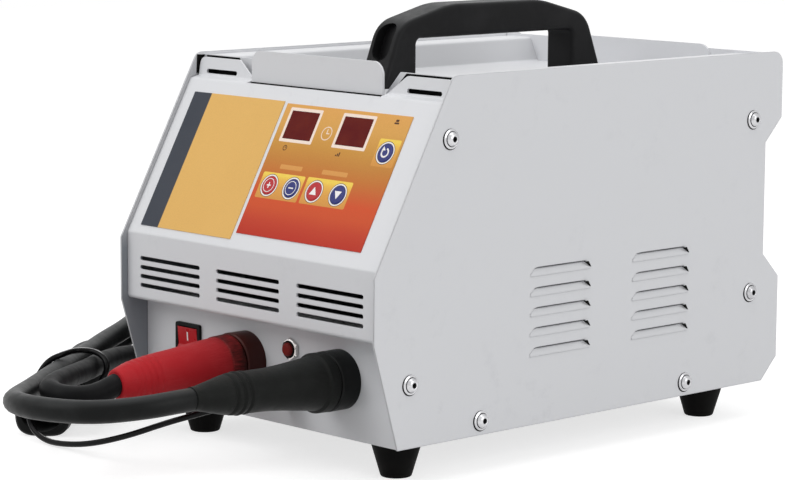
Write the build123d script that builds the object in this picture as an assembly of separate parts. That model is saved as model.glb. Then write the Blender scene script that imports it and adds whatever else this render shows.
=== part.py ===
from build123d import *
import math
import os

# Case sizes, millimetres, origin on the floor under the middle of the case
case_width = 254.0
case_depth = 391.5
case_height = 233.5
foot_height = 25.0
sheet = 1.5
seam_gap = 0.2
bend_radius = 1.5

# Side outline
toe_setback = 20.5
nose_low = 68.5
nose_top = 111.0
slope_angle = 28.8
ear_height = 17.0
ear_lean = 9.35
rear_recess = 17.0
recess_top_drop = 46.5
recess_height = 113.0
rear_chamfer = 16.0
rear_corner_radius = 9.0
ear_corner_radius = 7.0

# How far the side edges stand proud of the sheets between them
nose_edge_proud = 5.0
slope_edge_proud = 2.7
toe_edge_proud = 1.5
rear_edge_proud = 2.0

# Folded flanges
flange_depth = 24.0
flange_height = 20.0
lip_height = 10.0
return_depth = 40.0
flange_relief = 0.5

# Case screws
screw_radius = 2.5
screw_length = 9.0
screw_flange_radius = 6.5
screw_flange_height = 1.3
screw_dome_radius = 4.9
screw_dome_height = 2.6
screw_socket = 3.0
hole_clearance = 0.25
fit_clearance = 0.05
front_screw_s = 98.46
front_screw_inset = 14.46
rear_screw_inset = 11.5
rear_screw_drop = 46.4
rear_screw_rise = 65.1
base_screw_rise = 9.6
base_screw_front = 73.8
base_screw_rear = 98.5
toe_screw_inset = 9.3
toe_screw_rise = 40.9

# Side louvres
louvre_rows = 5
louvre_pitch = 13.25
louvre_top_rise = 104.1
louvre_length = 48.3
louvre_front = 143.0
louvre_column_pitch = 98.7
louvre_height = 4.1
louvre_flare = 4.9
louvre_lean = 24.0
louvre_gap = 0.6

# Front vent slots
vent_length = 63.0
vent_height = 2.9
vent_pitch = 6.15
vent_rows = 4
vent_columns = 3
vent_spacing = 80.0
vent_drop = 17.0

# Bent tabs over the control slope
tab_side_gap = 1.3
tab_foot_width = 58.0
tab_top_width = 41.4
tab_shelf_depth = 6.1
tab_shelf_rise = 1.5
tab_rise = 14.2
tab_lean = 2.1
tab_corner = 4.5
tab_slot_inset = 8.0
tab_slot_length = 32.0
tab_slot_height = 3.0
tab_slot_rise = 4.5

# Top tray and its lips
rail_width = 25.3
rail_drop = 1.8
tray_floor_inset = 35.0
tray_depth = 19.0
tray_flange = 14.0
tray_bend = 2.5
tray_front = 74.75
lip_tab_gap = 1.3
lip_setback = 64.5
lip_rise = 5.0
lip_corner = 9.0
rear_lip_inset = 14.0
rear_lip_rise = 2.8
corner_foot_width = 64.8
corner_top_width = 51.5
corner_side_gap = 3.5

# Carry handle
handle_width = 26.0
handle_half_length = 107.5
handle_shoulder_inset = 16.5
handle_shoulder_rise = 42.7
handle_crown_inset = 63.0
handle_rise = 54.5
handle_leg = 31.3
handle_gap_rise = 32.3
handle_gap_radius = 4.5
handle_shoulder_radius = 22.0
handle_crown_radius = 75.0
handle_edge = 3.0
handle_centre_y = 25.1
handle_pocket_width = 16.5
handle_pocket_depth = 8.0
handle_pocket_low = 18.0
handle_pocket_high = 44.0
handle_screw_inset = 10.0
handle_screw_radius = 3.0
handle_screw_reach = 9.0

# Feet
foot_top_radius = 17.0
foot_low_radius = 10.0
foot_inset_x = 31.0
foot_inset_front = 28.1
foot_inset_rear = 46.7
foot_stem_radius = 5.0
foot_head_radius = 7.5
foot_head_height = 3.0

# Control slope
overlay_thick = 0.5
overlay_left = -17.0
overlay_right = 103.2
overlay_low = 11.0
overlay_high = 104.8
label_left = -114.0
label_right = -20.5
label_low = 6.0
label_high = 106.0
window_width = 27.1
window_low = 80.0
window_high = 100.2
window_centres = [4.3, 55.7]
window_clearance = 0.2
button_radius = 6.5
button_gap = 0.3
button_proud = 0.4
button_flange_radius = 7.7
button_flange_thick = 1.0
button_slack = 0.1
button_stem_radius = 2.0
button_stem_length = 3.6
button_travel = 0.6
switch_slack = 0.2
button_row_s = 46.4
cycle_button_s = 78.5
time_plus_x = -3.4
time_minus_x = 18.3
power_up_x = 40.5
power_down_x = 63.2
cycle_x = 90.9
board_gap = 10.5
board_thick = 1.6
board_margin = 3.0
standoff_radius = 2.0
standoff_inset = 2.5
switch_size = 6.0
switch_height = 3.4

# Connector face
face_row_rise = 38.0
black_socket_x = 72.0
red_socket_x = -20.0
collar_radius = 19.5
collar_length = 15.0
socket_neck_radius = 14.0
socket_neck_length = 14.0
socket_nut_radius = 18.0
socket_nut_length = 5.0
core_radius = 11.0
core_bore = 7.5
core_recess = 3.0
core_tail_radius = 8.0
core_tail_length = 6.0
pin_radius = 6.5
pin_reach = 22.0
pin_seat = 25.0
plug_gap = 0.7
plug_ring_radius = 19.0
plug_ring_length = 14.0
black_plug_length = 94.0
black_plug_tilt = 1.7
black_plug_tail_radius = 10.5
red_plug_length = 95.3
red_plug_tilt = -1.6
red_plug_tail_radius = 9.2
plug_rib_count = 6
plug_rib_depth = 0.9
breaker_x = 25.0
breaker_rise = 51.3
breaker_neck_radius = 5.6
breaker_nut_radius = 7.5
breaker_nut_length = 3.0
breaker_button_radius = 4.5
breaker_button_proud = 6.0
breaker_button_length = 14.0
breaker_travel = 4.0
breaker_width = 14.0
breaker_depth = 30.0
breaker_height = 26.0
lead_socket_x = 25.0
lead_socket_rise = 21.0
lead_socket_radius = 9.5
lead_socket_flange = 3.0
lead_socket_neck = 6.5
lead_socket_length = 12.0
lead_plug_radius = 8.0
lead_plug_length = 35.25
lead_plug_nose = 4.0
rocker_inset = 47.0
rocker_rise = 39.4
bezel_width = 25.5
bezel_height = 31.0
bezel_thick = 2.0
rocker_opening_width = 20.5
rocker_opening_height = 26.0
rocker_wall = 1.0
rocker_body_depth = 16.0
rocker_side_gap = 0.3
rocker_half_height = 11.8
rocker_end_proud = 4.5
rocker_dip = 1.5
rocker_pivot_depth = 1.0
rocker_tilt = -10.0
rocker_pin_radius = 1.5

# Rear face
fan_size = 80.0
fan_thick = 25.0
fan_rise = 105.0
fan_bore = 38.3
fan_hub_radius = 15.0
fan_hub_length = 16.0
fan_blade_gap = 0.9
fan_blade_thick = 1.2
fan_blade_count = 7
fan_blade_angle = 38.0
fan_shaft_radius = 2.0
fan_motor_radius = 14.0
fan_motor_length = 5.0
fan_strut = 5.0
fan_hole_pitch = 71.5
fan_screw_radius = 2.0
guard_wire = 1.1
guard_rings = 4
guard_inner_radius = 12.0
guard_ring_pitch = 8.6
guard_eye_radius = 4.2
gland_inset = 47.0
gland_rise = 30.0
gland_bore = 5.0
gland_neck_radius = 8.0
gland_hex_radius = 11.0
gland_hex_length = 5.0
gland_dome_length = 11.0
gland_nut_length = 5.0

# Power parts inside
core_centre_y = 40.0
core_width = 120.0
core_thick = 60.0
leg_width = 40.0
core_window_width = 20.0
core_window_height = 60.0
yoke_height = 20.0
bracket_thick = 3.0
bracket_overhang = 15.0
bracket_inset = 2.0
winding_gap = 0.3
winding_slack = 0.7
secondary_height = 20.0
secondary_lift = 1.5
winding_break = 3.0
primary_height = 34.0
bar_thick = 4.0
bar_height = 20.0
bar_bend_front = 92.0
bar_bend_back = 20.7
bar_join_x = 30.0
module_inset = 47.0
module_width = 34.0
module_length = 92.0
module_height = 30.0
module_front = 62.25
terminal_count = 3
terminal_radius = 5.0
terminal_height = 6.0

# Cords, gun and ground magnet
cable_diameter = 14.7
lead_diameter = 4.0
cord_seat = 2.0
coil_x = -240.0
coil_y = 30.0
coil_radius = 80.0
coil_gap = 0.3
gun_coil_turns = 3
ground_coil_turns = 2
lead_coil_x = -228.0
lead_coil_y = -92.0
lead_coil_radius = 17.0
lead_coil_layers = 6
gun_radius = 19.0
gun_nose_x = -152.0
gun_nose_y = -245.0
gun_heading = 130.78
gun_length = 211.0
chuck_radius = 9.0
chuck_length = 26.0
chuck_bore = 4.0
chuck_bore_depth = 15.0
gun_recess_radius = 15.5
gun_rim = 1.5
chuck_setback = 7.0
gun_tail_length = 20.0
gun_tail_radius = 10.5
trigger_place = 70.0
trigger_length = 32.0
trigger_width = 10.0
trigger_proud = 3.0
trigger_travel = 2.5
trigger_gap = 0.3
trigger_depth = 8.0
magnet_x = -300.0
magnet_y = 228.0
magnet_radius = 28.0
magnet_height = 14.0
stud_radius = 4.0
stud_height = 9.0
lug_thick = 3.0
lug_width = 18.0
lug_barrel_radius = 9.0
lug_barrel_length = 24.0

# Places that follow from the sizes above
theta = math.radians(slope_angle)
half_width = case_width / 2
inner_half = half_width - sheet
flange_half = inner_half - seam_gap
nose_y = -case_depth / 2
tail_y = case_depth / 2
toe_y = nose_y + toe_setback
base_z = foot_height
floor_z = base_z + sheet
top_z = base_z + case_height
nose_low_z = base_z + nose_low
nose_top_z = base_z + nose_top
ear_z = top_z - ear_height
ear_y = nose_y + (ear_z - nose_top_z) * math.tan(theta)
band_y = nose_y + nose_edge_proud
bend_z = nose_top_z + (nose_edge_proud * math.cos(theta) - slope_edge_proud) / math.sin(theta)
slope_length = (ear_z - bend_z) / math.cos(theta)
face_y = toe_y + toe_edge_proud
recess_top_z = top_z - recess_top_drop
recess_low_z = recess_top_z - recess_height
rear_out_y = tail_y - rear_recess - rear_edge_proud
rear_in_y = rear_out_y - sheet
tray_z = top_z - tray_depth
slope = Plane(origin=(0, band_y, bend_z), x_dir=(1, 0, 0), z_dir=(0, -math.cos(theta), math.sin(theta)))
collar_y = face_y - collar_length
socket_z = base_z + face_row_rise
rocker_x = rocker_inset - half_width
gland_x = half_width - gland_inset
module_x = module_inset - half_width
parts = {}


def block(x0, x1, y0, y1, z0, z1):
    """Box between two corners."""
    return Pos((x0 + x1) / 2, (y0 + y1) / 2, (z0 + z1) / 2) * Box(x1 - x0, y1 - y0, z1 - z0)


def rod(start, axis, radius, length):
    """Cylinder from a start point along an axis."""
    seat = (Align.CENTER, Align.CENTER, Align.MIN)
    return Plane(origin=start, z_dir=axis) * Cylinder(radius, length, align=seat)


def turned(profile, start, axis):
    """Turned solid from (radius, along) points about an axis through start."""
    face = make_face(Polyline(*[(r, 0, a) for r, a in profile], close=True))
    return Plane(origin=start, z_dir=axis) * revolve(face, axis=Axis.Z)


def along_x(face, x0, x1):
    """Extrude a (Y, Z) face between two X places."""
    return Plane.YZ.offset(x0) * extrude(face, amount=x1 - x0)


def along_y(face, y0, y1):
    """Extrude an (X, Z) face between two Y places."""
    return Plane.XZ.offset(-y1) * extrude(face, amount=y1 - y0)


def outline(points):
    """Flat face inside straight edges."""
    return make_face(Polyline(*points, close=True))


def bent_sheet(points, thick, radius):
    """Face of a folded strip: the skin given, the other skin on its left."""
    count = len(points)
    legs = [Vector(*points[i + 1]) - Vector(*points[i]) for i in range(count - 1)]
    units = [leg.normalized() for leg in legs]
    sides = [Vector(-u.Y, u.X) for u in units]
    inner = [Vector(*points[0]) + sides[0] * thick]
    skin_radii = []
    inner_radii = []
    for i in range(1, count - 1):
        middle = sides[i - 1] + sides[i]
        reach = thick / middle.normalized().dot(sides[i])
        inner.append(Vector(*points[i]) + middle.normalized() * reach)
        left_turn = units[i - 1].X * units[i].Y - units[i - 1].Y * units[i].X > 0
        skin_radii.append(radius + thick if left_turn else radius)
        inner_radii.append(radius if left_turn else radius + thick)
    inner.append(Vector(*points[-1]) + sides[-1] * thick)
    skin = FilletPolyline(*points, radius=skin_radii)
    back = FilletPolyline(*[(p.X, p.Y) for p in inner], radius=inner_radii)
    start = Line(points[0], (inner[0].X, inner[0].Y))
    end = Line(points[-1], (inner[-1].X, inner[-1].Y))
    return make_face(Curve() + [skin, back, start, end])


def keep(name, *shapes):
    """Collect the solids of one named piece."""
    solids = []
    for shape in shapes:
        solids.extend(shape.solids())
    parts[name] = solids


def on_slope(x, s, n):
    """World place of a point given on the control slope."""
    return slope.from_local_coords(Vector(x, s, n))


def cord(points, diameter, name):
    """Round cord along straight runs joined by tangent arcs."""
    places = [Vector(*p) for p in points]
    radii = []
    for before, here, after in zip(places, places[1:], places[2:]):
        turn = math.radians((here - before).get_angle(after - here))
        run = min((here - before).length, (after - here).length)
        radii.append(0.45 * run / math.tan(turn / 2))
    path = FilletPolyline(*points, radius=radii)
    section = Plane(origin=path @ 0, z_dir=path % 0) * Circle(diameter / 2)
    tube = sweep(section, path=path)
    ideal = math.pi * diameter ** 2 / 4 * path.length
    tight = min(radii) / diameter
    print(name, "length", round(path.length, 1), "tightest arc", round(tight, 2), "diameters,",
          "volume ratio", round(tube.volume / ideal, 4), "radii", [round(r) for r in radii])
    return tube


# Case screws: place on the panel, one list for the right side
front_screw = on_slope(0, front_screw_s, -front_screw_inset)
case_screws = [
    (front_screw.Y, front_screw.Z),
    (rear_out_y - rear_screw_inset, top_z - rear_screw_drop),
    (rear_out_y - rear_screw_inset, base_z + rear_screw_rise),
    (toe_y + base_screw_front, base_z + base_screw_rise),
    (tail_y - base_screw_rear, base_z + base_screw_rise),
    (face_y + toe_screw_inset, base_z + toe_screw_rise),
]
front_holes = case_screws[:1]
rear_holes = case_screws[1:3]
base_holes = case_screws[3:5]
toe_holes = case_screws[5:]


def side_holes(places, radius):
    """Drills through both sides of the case at (Y, Z) places."""
    return [rod((-half_width - sheet, y, z), (1, 0, 0), radius, case_width + 2 * sheet) for y, z in places]


def case_screw(y, z):
    """Flanged button screw on the right side."""
    head = half_width + screw_flange_height
    dome = head + screw_dome_height
    profile = [
        (0, half_width - screw_length),
        (screw_radius, half_width - screw_length),
        (screw_radius, half_width),
        (screw_flange_radius, half_width),
        (screw_flange_radius, half_width + screw_flange_height / 2),
        (screw_dome_radius, head),
        (screw_dome_radius - screw_dome_height / 2, dome),
        (0, dome),
    ]
    screw = turned(profile, (0, y, z), (1, 0, 0))
    key = extrude(RegularPolygon(screw_socket / math.sqrt(3), 6), amount=screw_dome_height)
    return screw - Plane(origin=(head, y, z), z_dir=(1, 0, 0)) * key


# Side panels
side_points = [
    (toe_y, base_z),
    (nose_y, nose_low_z),
    (nose_y, nose_top_z),
    (ear_y, ear_z),
    (ear_y + ear_lean, top_z),
    (tail_y, top_z),
    (tail_y, recess_top_z),
    (tail_y - rear_recess, recess_top_z - rear_recess),
    (tail_y - rear_recess, recess_low_z + rear_recess),
    (tail_y, recess_low_z),
    (tail_y, base_z + rear_chamfer),
    (tail_y - rear_chamfer, base_z),
]
side_face = outline(side_points)
tail_corner = side_face.vertices().sort_by(lambda v: (v.X - tail_y) ** 2 + (v.Y - top_z) ** 2)[0]
side_face = fillet(tail_corner, rear_corner_radius)
ear_corner = side_face.vertices().sort_by(lambda v: (v.X - ear_y - ear_lean) ** 2 + (v.Y - top_z) ** 2)[0]
side_face = fillet(ear_corner, ear_corner_radius)
louvre_low = louvre_length / 2 + louvre_flare
louvre_cut = outline([
    (-louvre_low, -louvre_height),
    (-louvre_length / 2, 0),
    (louvre_length / 2, 0),
    (louvre_low, -louvre_height),
])
flap_low = louvre_low - louvre_gap
flap_face = outline([
    (-flap_low, -sheet),
    (-flap_low, 0),
    (-flap_low + louvre_flare, louvre_height),
    (flap_low - louvre_flare, louvre_height),
    (flap_low, 0),
    (flap_low, -sheet),
])
louvre_slit = along_x(louvre_cut, -2 * sheet, 2 * sheet)
louvre_flap = Rot(0, -louvre_lean, 0) * along_x(flap_face, -sheet, 0)
louvre_places = [
    Pos(half_width, nose_y + louvre_front + louvre_length / 2 + column * louvre_column_pitch,
        base_z + louvre_top_rise - row * louvre_pitch)
    for column in range(2)
    for row in range(louvre_rows)
]
right_side = along_x(side_face, inner_half, half_width)
right_side -= [place * louvre_slit for place in louvre_places]
right_side += [place * Pos(0, 0, -louvre_height) * louvre_flap for place in louvre_places]
right_side -= side_holes(case_screws, screw_radius + hole_clearance)
keep("right_side_panel", right_side)
keep("left_side_panel", mirror(right_side, about=Plane.YZ))
right_screws = [case_screw(y, z) for y, z in case_screws]
keep("right_case_screws", *right_screws)
keep("left_case_screws", *[mirror(screw, about=Plane.YZ) for screw in right_screws])

# Base channel with the holes for the feet
foot_x = half_width - foot_inset_x
foot_front_y = toe_y + foot_inset_front
foot_rear_y = tail_y - foot_inset_rear
foot_places = [(x, y) for x in (-foot_x, foot_x) for y in (foot_front_y, foot_rear_y)]
base_front_y = face_y + sheet
channel = bent_sheet([
    (-flange_half, base_z + flange_height),
    (-flange_half, base_z),
    (flange_half, base_z),
    (flange_half, base_z + flange_height),
], sheet, bend_radius)
base = along_y(channel, base_front_y, rear_in_y)
lip_half = flange_half - 2 * sheet - bend_radius
base += block(-lip_half, lip_half, base_front_y, base_front_y + sheet, base_z, base_z + lip_height)
base += block(-lip_half, lip_half, rear_in_y - sheet, rear_in_y, base_z, base_z + lip_height)
base -= [rod((x, y, base_z - sheet), (0, 0, 1), foot_stem_radius + hole_clearance, 3 * sheet) for x, y in foot_places]
base -= side_holes(base_holes, screw_radius + fit_clearance)
keep("base_chassis", base)

# Rubber feet, pushed through the base
foot_profile = [
    (0, 0),
    (foot_low_radius, 0),
    (foot_top_radius, base_z),
    (foot_stem_radius, base_z),
    (foot_stem_radius, floor_z),
    (foot_head_radius, floor_z),
    (foot_stem_radius, floor_z + foot_head_height),
    (0, floor_z + foot_head_height),
]
keep("rubber_feet", *[turned(foot_profile, (x, y, 0), (0, 0, 1)) for x, y in foot_places])

# Connector panel
flange_low = base_z + flange_height + flange_relief
face_profile = bent_sheet([
    (face_y + return_depth, nose_low_z),
    (face_y, nose_low_z),
    (face_y, base_z),
], sheet, bend_radius)
face_panel = along_x(face_profile, -flange_half, flange_half)
face_flange = block(flange_half - sheet, flange_half, face_y + sheet / 2, face_y + flange_depth, flange_low,
                    nose_low_z - sheet / 2)
face_panel += [face_flange, mirror(face_flange, about=Plane.YZ)]
rocker_z = base_z + rocker_rise
breaker_z = base_z + breaker_rise
lead_z = base_z + lead_socket_rise
body_half_width = rocker_opening_width / 2 + rocker_wall
body_half_height = rocker_opening_height / 2 + rocker_wall
face_cuts = [
    rod((black_socket_x, face_y - sheet, socket_z), (0, 1, 0), socket_neck_radius + hole_clearance, 3 * sheet),
    rod((red_socket_x, face_y - sheet, socket_z), (0, 1, 0), socket_neck_radius + hole_clearance, 3 * sheet),
    rod((breaker_x, face_y - sheet, breaker_z), (0, 1, 0), breaker_neck_radius + hole_clearance, 3 * sheet),
    rod((lead_socket_x, face_y - sheet, lead_z), (0, 1, 0), lead_socket_neck + hole_clearance, 3 * sheet),
    block(rocker_x - body_half_width - hole_clearance, rocker_x + body_half_width + hole_clearance,
          face_y - sheet, face_y + 2 * sheet,
          rocker_z - body_half_height - hole_clearance, rocker_z + body_half_height + hole_clearance),
]
face_panel -= face_cuts
face_panel -= side_holes(toe_holes, screw_radius + fit_clearance)
keep("connector_panel", face_panel)

# Front panel with the vent band, the control slope and the bent tabs
slope_top = on_slope(0, slope_length, 0)
front_profile = bent_sheet([
    (slope_top.Y, slope_top.Z),
    (band_y, bend_z),
    (band_y, nose_low_z),
    (face_y + return_depth, nose_low_z),
], sheet, bend_radius)
front = along_x(front_profile, -flange_half, flange_half)
slope_flange = slope * block(flange_half - sheet, flange_half, sheet, slope_length - sheet, -flange_depth, -sheet / 2)
front += [slope_flange, mirror(slope_flange, about=Plane.YZ)]
tab_outer = flange_half - tab_side_gap
tab_inner_low = tab_outer - tab_foot_width
tab_inner_high = tab_outer - tab_top_width
tab_low_y = slope_top.Y + tab_shelf_depth
tab_root = on_slope(0, slope_length - 2 * sheet, 0)
tab_profile = bent_sheet([
    (tab_low_y + tab_lean, slope_top.Z + tab_rise),
    (tab_low_y, slope_top.Z + tab_shelf_rise),
    (slope_top.Y, slope_top.Z),
    (tab_root.Y, tab_root.Z),
], sheet, bend_radius)
tab_face = outline([
    (tab_inner_low, slope_top.Z - 4 * sheet),
    (tab_inner_low, slope_top.Z + tab_shelf_rise),
    (tab_inner_high, slope_top.Z + tab_rise - sheet / 4),
    (tab_outer, slope_top.Z + tab_rise - sheet / 4),
    (tab_outer, slope_top.Z - 4 * sheet),
])
tab_face = fillet(tab_face.vertices().group_by(Axis.Y)[-1], tab_corner)
tab_slot_x = tab_outer - tab_slot_inset - tab_slot_length / 2
tab_slot = Plane(origin=(tab_slot_x, tab_low_y + 3 * sheet, slope_top.Z + tab_slot_rise), x_dir=(1, 0, 0), z_dir=(0, -1, 0))
tab_slot *= extrude(SlotOverall(tab_slot_length, tab_slot_height), amount=5 * sheet)
tab = along_x(tab_profile, tab_inner_low, tab_outer) & along_y(tab_face, slope_top.Y - 4 * sheet, tab_low_y + 8 * sheet)
tab -= tab_slot
tab_notch = slope * block(tab_inner_low, tab_outer, slope_length - 2 * sheet, slope_length + sheet, -2 * sheet, sheet)
front -= [tab_notch, mirror(tab_notch, about=Plane.YZ)]
front += [tab, mirror(tab, about=Plane.YZ)]
vent_middle = (vent_columns - 1) / 2
vent_slot = extrude(SlotOverall(vent_length, vent_height), amount=3 * sheet)
vents = [
    Plane(origin=((c - vent_middle) * vent_spacing, band_y + 2 * sheet, bend_z - vent_drop - r * vent_pitch),
          x_dir=(1, 0, 0), z_dir=(0, -1, 0)) * vent_slot
    for c in range(vent_columns)
    for r in range(vent_rows)
]
front -= vents
key_places = {
    "time_plus_button": (time_plus_x, button_row_s),
    "time_minus_button": (time_minus_x, button_row_s),
    "power_up_button": (power_up_x, button_row_s),
    "power_down_button": (power_down_x, button_row_s),
    "cycle_button": (cycle_x, cycle_button_s),
}
key_drills = [
    slope * Pos(x, s, 0) * Cylinder(button_radius + button_gap, 4 * sheet) for x, s in key_places.values()
]
window_half = window_width / 2
window_cuts = [
    slope * block(x - window_half, x + window_half, window_low, window_high, -2 * sheet, 2 * sheet)
    for x in window_centres
]
front -= key_drills
front -= window_cuts
front -= side_holes(front_holes, screw_radius + fit_clearance)
keep("front_panel", front)

# Printed overlay, label and windows on the slope
overlay = slope * block(overlay_left, overlay_right, overlay_low, overlay_high, 0, overlay_thick)
overlay -= key_drills
overlay -= window_cuts
keep("keypad_overlay", overlay)
keep("info_label", slope * block(label_left, label_right, label_low, label_high, 0, overlay_thick))
pane_half = window_half - window_clearance
keep("display_windows", *[
    slope * block(x - pane_half, x + pane_half, window_low + window_clearance, window_high - window_clearance,
                  -sheet, overlay_thick)
    for x in window_centres
])

# Board, display modules, standoffs and key switches behind the slope
board_n = -sheet - board_gap
board = slope * block(overlay_left + board_margin, overlay_right - board_margin, overlay_low + board_margin,
                      overlay_high - board_margin, board_n - board_thick, board_n)
keep("control_board", board)
keep("display_modules", *[
    slope * block(x - pane_half, x + pane_half, window_low + window_clearance, window_high - window_clearance,
                  board_n, -sheet)
    for x in window_centres
])
post_x = [overlay_left + board_margin + standoff_inset, overlay_right - board_margin - standoff_inset]
post_s = [overlay_low + board_margin + standoff_inset, overlay_high - board_margin - standoff_inset]
keep("board_standoffs", *[
    rod(on_slope(x, s, board_n), slope.z_dir, standoff_radius, board_gap) for x in post_x for s in post_s
])
button_back_n = -sheet - button_slack - button_flange_thick
stem_n = button_back_n - button_stem_length
plunger_n = stem_n - button_travel - switch_slack
switches = []
for x, s in key_places.values():
    half = switch_size / 2
    body = slope * block(x - half, x + half, s - half, s + half, board_n, board_n + switch_height)
    plunger = rod(on_slope(x, s, board_n), slope.z_dir, button_stem_radius, plunger_n - board_n)
    switches.append(body + plunger)
keep("key_switches", *switches)
button_profile = [
    (0, stem_n),
    (button_stem_radius, stem_n),
    (button_stem_radius, button_back_n),
    (button_flange_radius, button_back_n),
    (button_flange_radius, button_back_n + button_flange_thick),
    (button_radius, button_back_n + button_flange_thick),
    (button_radius, overlay_thick + button_proud),
    (0, overlay_thick + button_proud),
]
for name, (x, s) in key_places.items():
    keep(name, turned(button_profile, on_slope(x, s, 0), slope.z_dir))

# Output sockets with brass cores
socket_profile = [
    (core_radius + fit_clearance, -collar_length),
    (collar_radius - 1, -collar_length),
    (collar_radius, 1 - collar_length),
    (collar_radius, 0),
    (socket_neck_radius, 0),
    (socket_neck_radius, socket_neck_length),
    (core_radius + fit_clearance, socket_neck_length),
]
nut_profile = [
    (socket_neck_radius + fit_clearance, sheet),
    (socket_nut_radius, sheet),
    (socket_nut_radius, sheet + socket_nut_length),
    (socket_neck_radius + fit_clearance, sheet + socket_nut_length),
]
core_front = core_recess - collar_length
core_back = socket_neck_length + core_recess
core_profile = [
    (core_bore, core_front),
    (core_radius, core_front),
    (core_radius, core_back),
    (core_tail_radius, core_back),
    (core_tail_radius, core_back + core_tail_length),
    (0, core_back + core_tail_length),
    (0, core_back - core_recess),
    (core_bore, core_back - core_recess),
]
for name, x in (("red_socket", red_socket_x), ("black_socket", black_socket_x)):
    place = (x, face_y, socket_z)
    keep(name, turned(socket_profile, place, (0, 1, 0)), turned(nut_profile, place, (0, 1, 0)))
keep("socket_cores", *[
    turned(core_profile, (x, face_y, socket_z), (0, 1, 0)) for x in (red_socket_x, black_socket_x)
])


def plug_axis(tilt):
    """Direction a plug points in, out of the machine."""
    return Vector(0, -math.cos(math.radians(tilt)), math.sin(math.radians(tilt)))


def plug(x, tilt, length, tail_radius):
    """Cable plug with a grip ring and a ribbed sleeve that narrows to its tail."""
    ring_end = plug_gap + plug_ring_length
    body_radius = plug_ring_radius - 2 * plug_rib_depth
    profile = [
        (pin_radius + fit_clearance, plug_gap),
        (plug_ring_radius, plug_gap),
        (plug_ring_radius, ring_end),
        (body_radius, ring_end),
    ]
    taper = length - ring_end
    pitch = taper / 2 / plug_rib_count
    start = ring_end + taper / 2
    middle_radius = (body_radius + tail_radius) / 2
    profile.append((middle_radius + plug_rib_depth, start - pitch))
    for rib in range(plug_rib_count):
        share = rib / plug_rib_count
        radius = middle_radius + (tail_radius - middle_radius) * share
        low = start + rib * pitch
        profile.append((radius, low))
        profile.append((radius, low + pitch / 3))
        profile.append((radius + plug_rib_depth, low + pitch / 2))
        profile.append((radius + plug_rib_depth, low + pitch * 5 / 6))
    profile.append((tail_radius, length))
    profile.append((0, length))
    profile.append((0, pin_seat))
    profile.append((pin_radius + fit_clearance, pin_seat))
    return turned(profile, (x, collar_y, socket_z), plug_axis(tilt))


keep("red_plug", plug(red_socket_x, red_plug_tilt, red_plug_length, red_plug_tail_radius))
keep("black_plug", plug(black_socket_x, black_plug_tilt, black_plug_length, black_plug_tail_radius))
pins = []
for x, tilt in ((red_socket_x, red_plug_tilt), (black_socket_x, black_plug_tilt)):
    start = Vector(x, collar_y, socket_z) - plug_axis(tilt) * pin_reach
    pins.append(rod(start, plug_axis(tilt), pin_radius, pin_reach + pin_seat))
keep("plug_pins", *pins)

# Reset breaker
neck_front = -breaker_nut_length - sheet / 3
cavity = breaker_button_length - breaker_button_proud + breaker_travel + sheet
breaker = block(breaker_x - breaker_width / 2, breaker_x + breaker_width / 2, face_y + sheet,
                face_y + sheet + breaker_depth, breaker_z - breaker_height / 2, breaker_z + breaker_height / 2)
breaker += rod((breaker_x, face_y + neck_front, breaker_z), (0, 1, 0), breaker_neck_radius, sheet * 2 - neck_front)
breaker -= rod((breaker_x, face_y + neck_front, breaker_z), (0, 1, 0), breaker_button_radius + fit_clearance,
               cavity - neck_front)
keep("breaker_body", breaker)
nut = extrude(RegularPolygon(breaker_nut_radius, 6) - Circle(breaker_neck_radius + fit_clearance),
              amount=breaker_nut_length)
keep("breaker_nut", Plane(origin=(breaker_x, face_y, breaker_z), z_dir=(0, -1, 0)) * nut)
keep("breaker_button", rod((breaker_x, face_y - breaker_button_proud, breaker_z), (0, 1, 0), breaker_button_radius,
                           breaker_button_length))

# Trigger lead socket and plug
lead_socket_profile = [
    (0, -lead_socket_flange),
    (lead_socket_radius, -lead_socket_flange),
    (lead_socket_radius, 0),
    (lead_socket_neck, 0),
    (lead_socket_neck, lead_socket_length),
    (0, lead_socket_length),
]
keep("lead_socket", turned(lead_socket_profile, (lead_socket_x, face_y, lead_z), (0, 1, 0)))
lead_plug_y = face_y - lead_socket_flange
lead_plug_profile = [
    (0, 0),
    (lead_plug_radius, 0),
    (lead_plug_radius, lead_plug_length * 0.55),
    (lead_plug_nose, lead_plug_length * 0.72),
    (lead_plug_nose, lead_plug_length),
    (0, lead_plug_length),
]
keep("lead_plug", turned(lead_plug_profile, (lead_socket_x, lead_plug_y, lead_z), (0, -1, 0)))

# Rocker switch
frame_body = block(-body_half_width, body_half_width, 0, rocker_body_depth, -body_half_height, body_half_height)
bezel = block(-bezel_width / 2, bezel_width / 2, -bezel_thick, 0, -bezel_height / 2, bezel_height / 2)
bezel = fillet(bezel.edges().filter_by(Axis.Y), bezel_thick)
well = block(-rocker_opening_width / 2, rocker_opening_width / 2, -2 * bezel_thick, rocker_body_depth - bezel_thick,
             -rocker_opening_height / 2, rocker_opening_height / 2)
pivot_drill = rod((-bezel_width, rocker_pivot_depth, 0), (1, 0, 0), rocker_pin_radius + fit_clearance, 2 * bezel_width)
rocker_place = Pos(rocker_x, face_y, rocker_z)
keep("rocker_frame", rocker_place * (frame_body + bezel - well - pivot_drill))
rocker_face = outline([
    (-rocker_end_proud, rocker_half_height),
    (-rocker_dip, 0),
    (-rocker_end_proud, -rocker_half_height),
    (rocker_pivot_depth, -rocker_half_height + rocker_dip),
    (rocker_end_proud, -rocker_half_height / 2),
    (rocker_end_proud, rocker_half_height / 2),
    (rocker_pivot_depth, rocker_half_height - rocker_dip),
])
rocker_half = rocker_opening_width / 2 - rocker_side_gap
rocker = along_x(rocker_face, -rocker_half, rocker_half)
pivot_half = body_half_width - rocker_wall / 5
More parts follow.
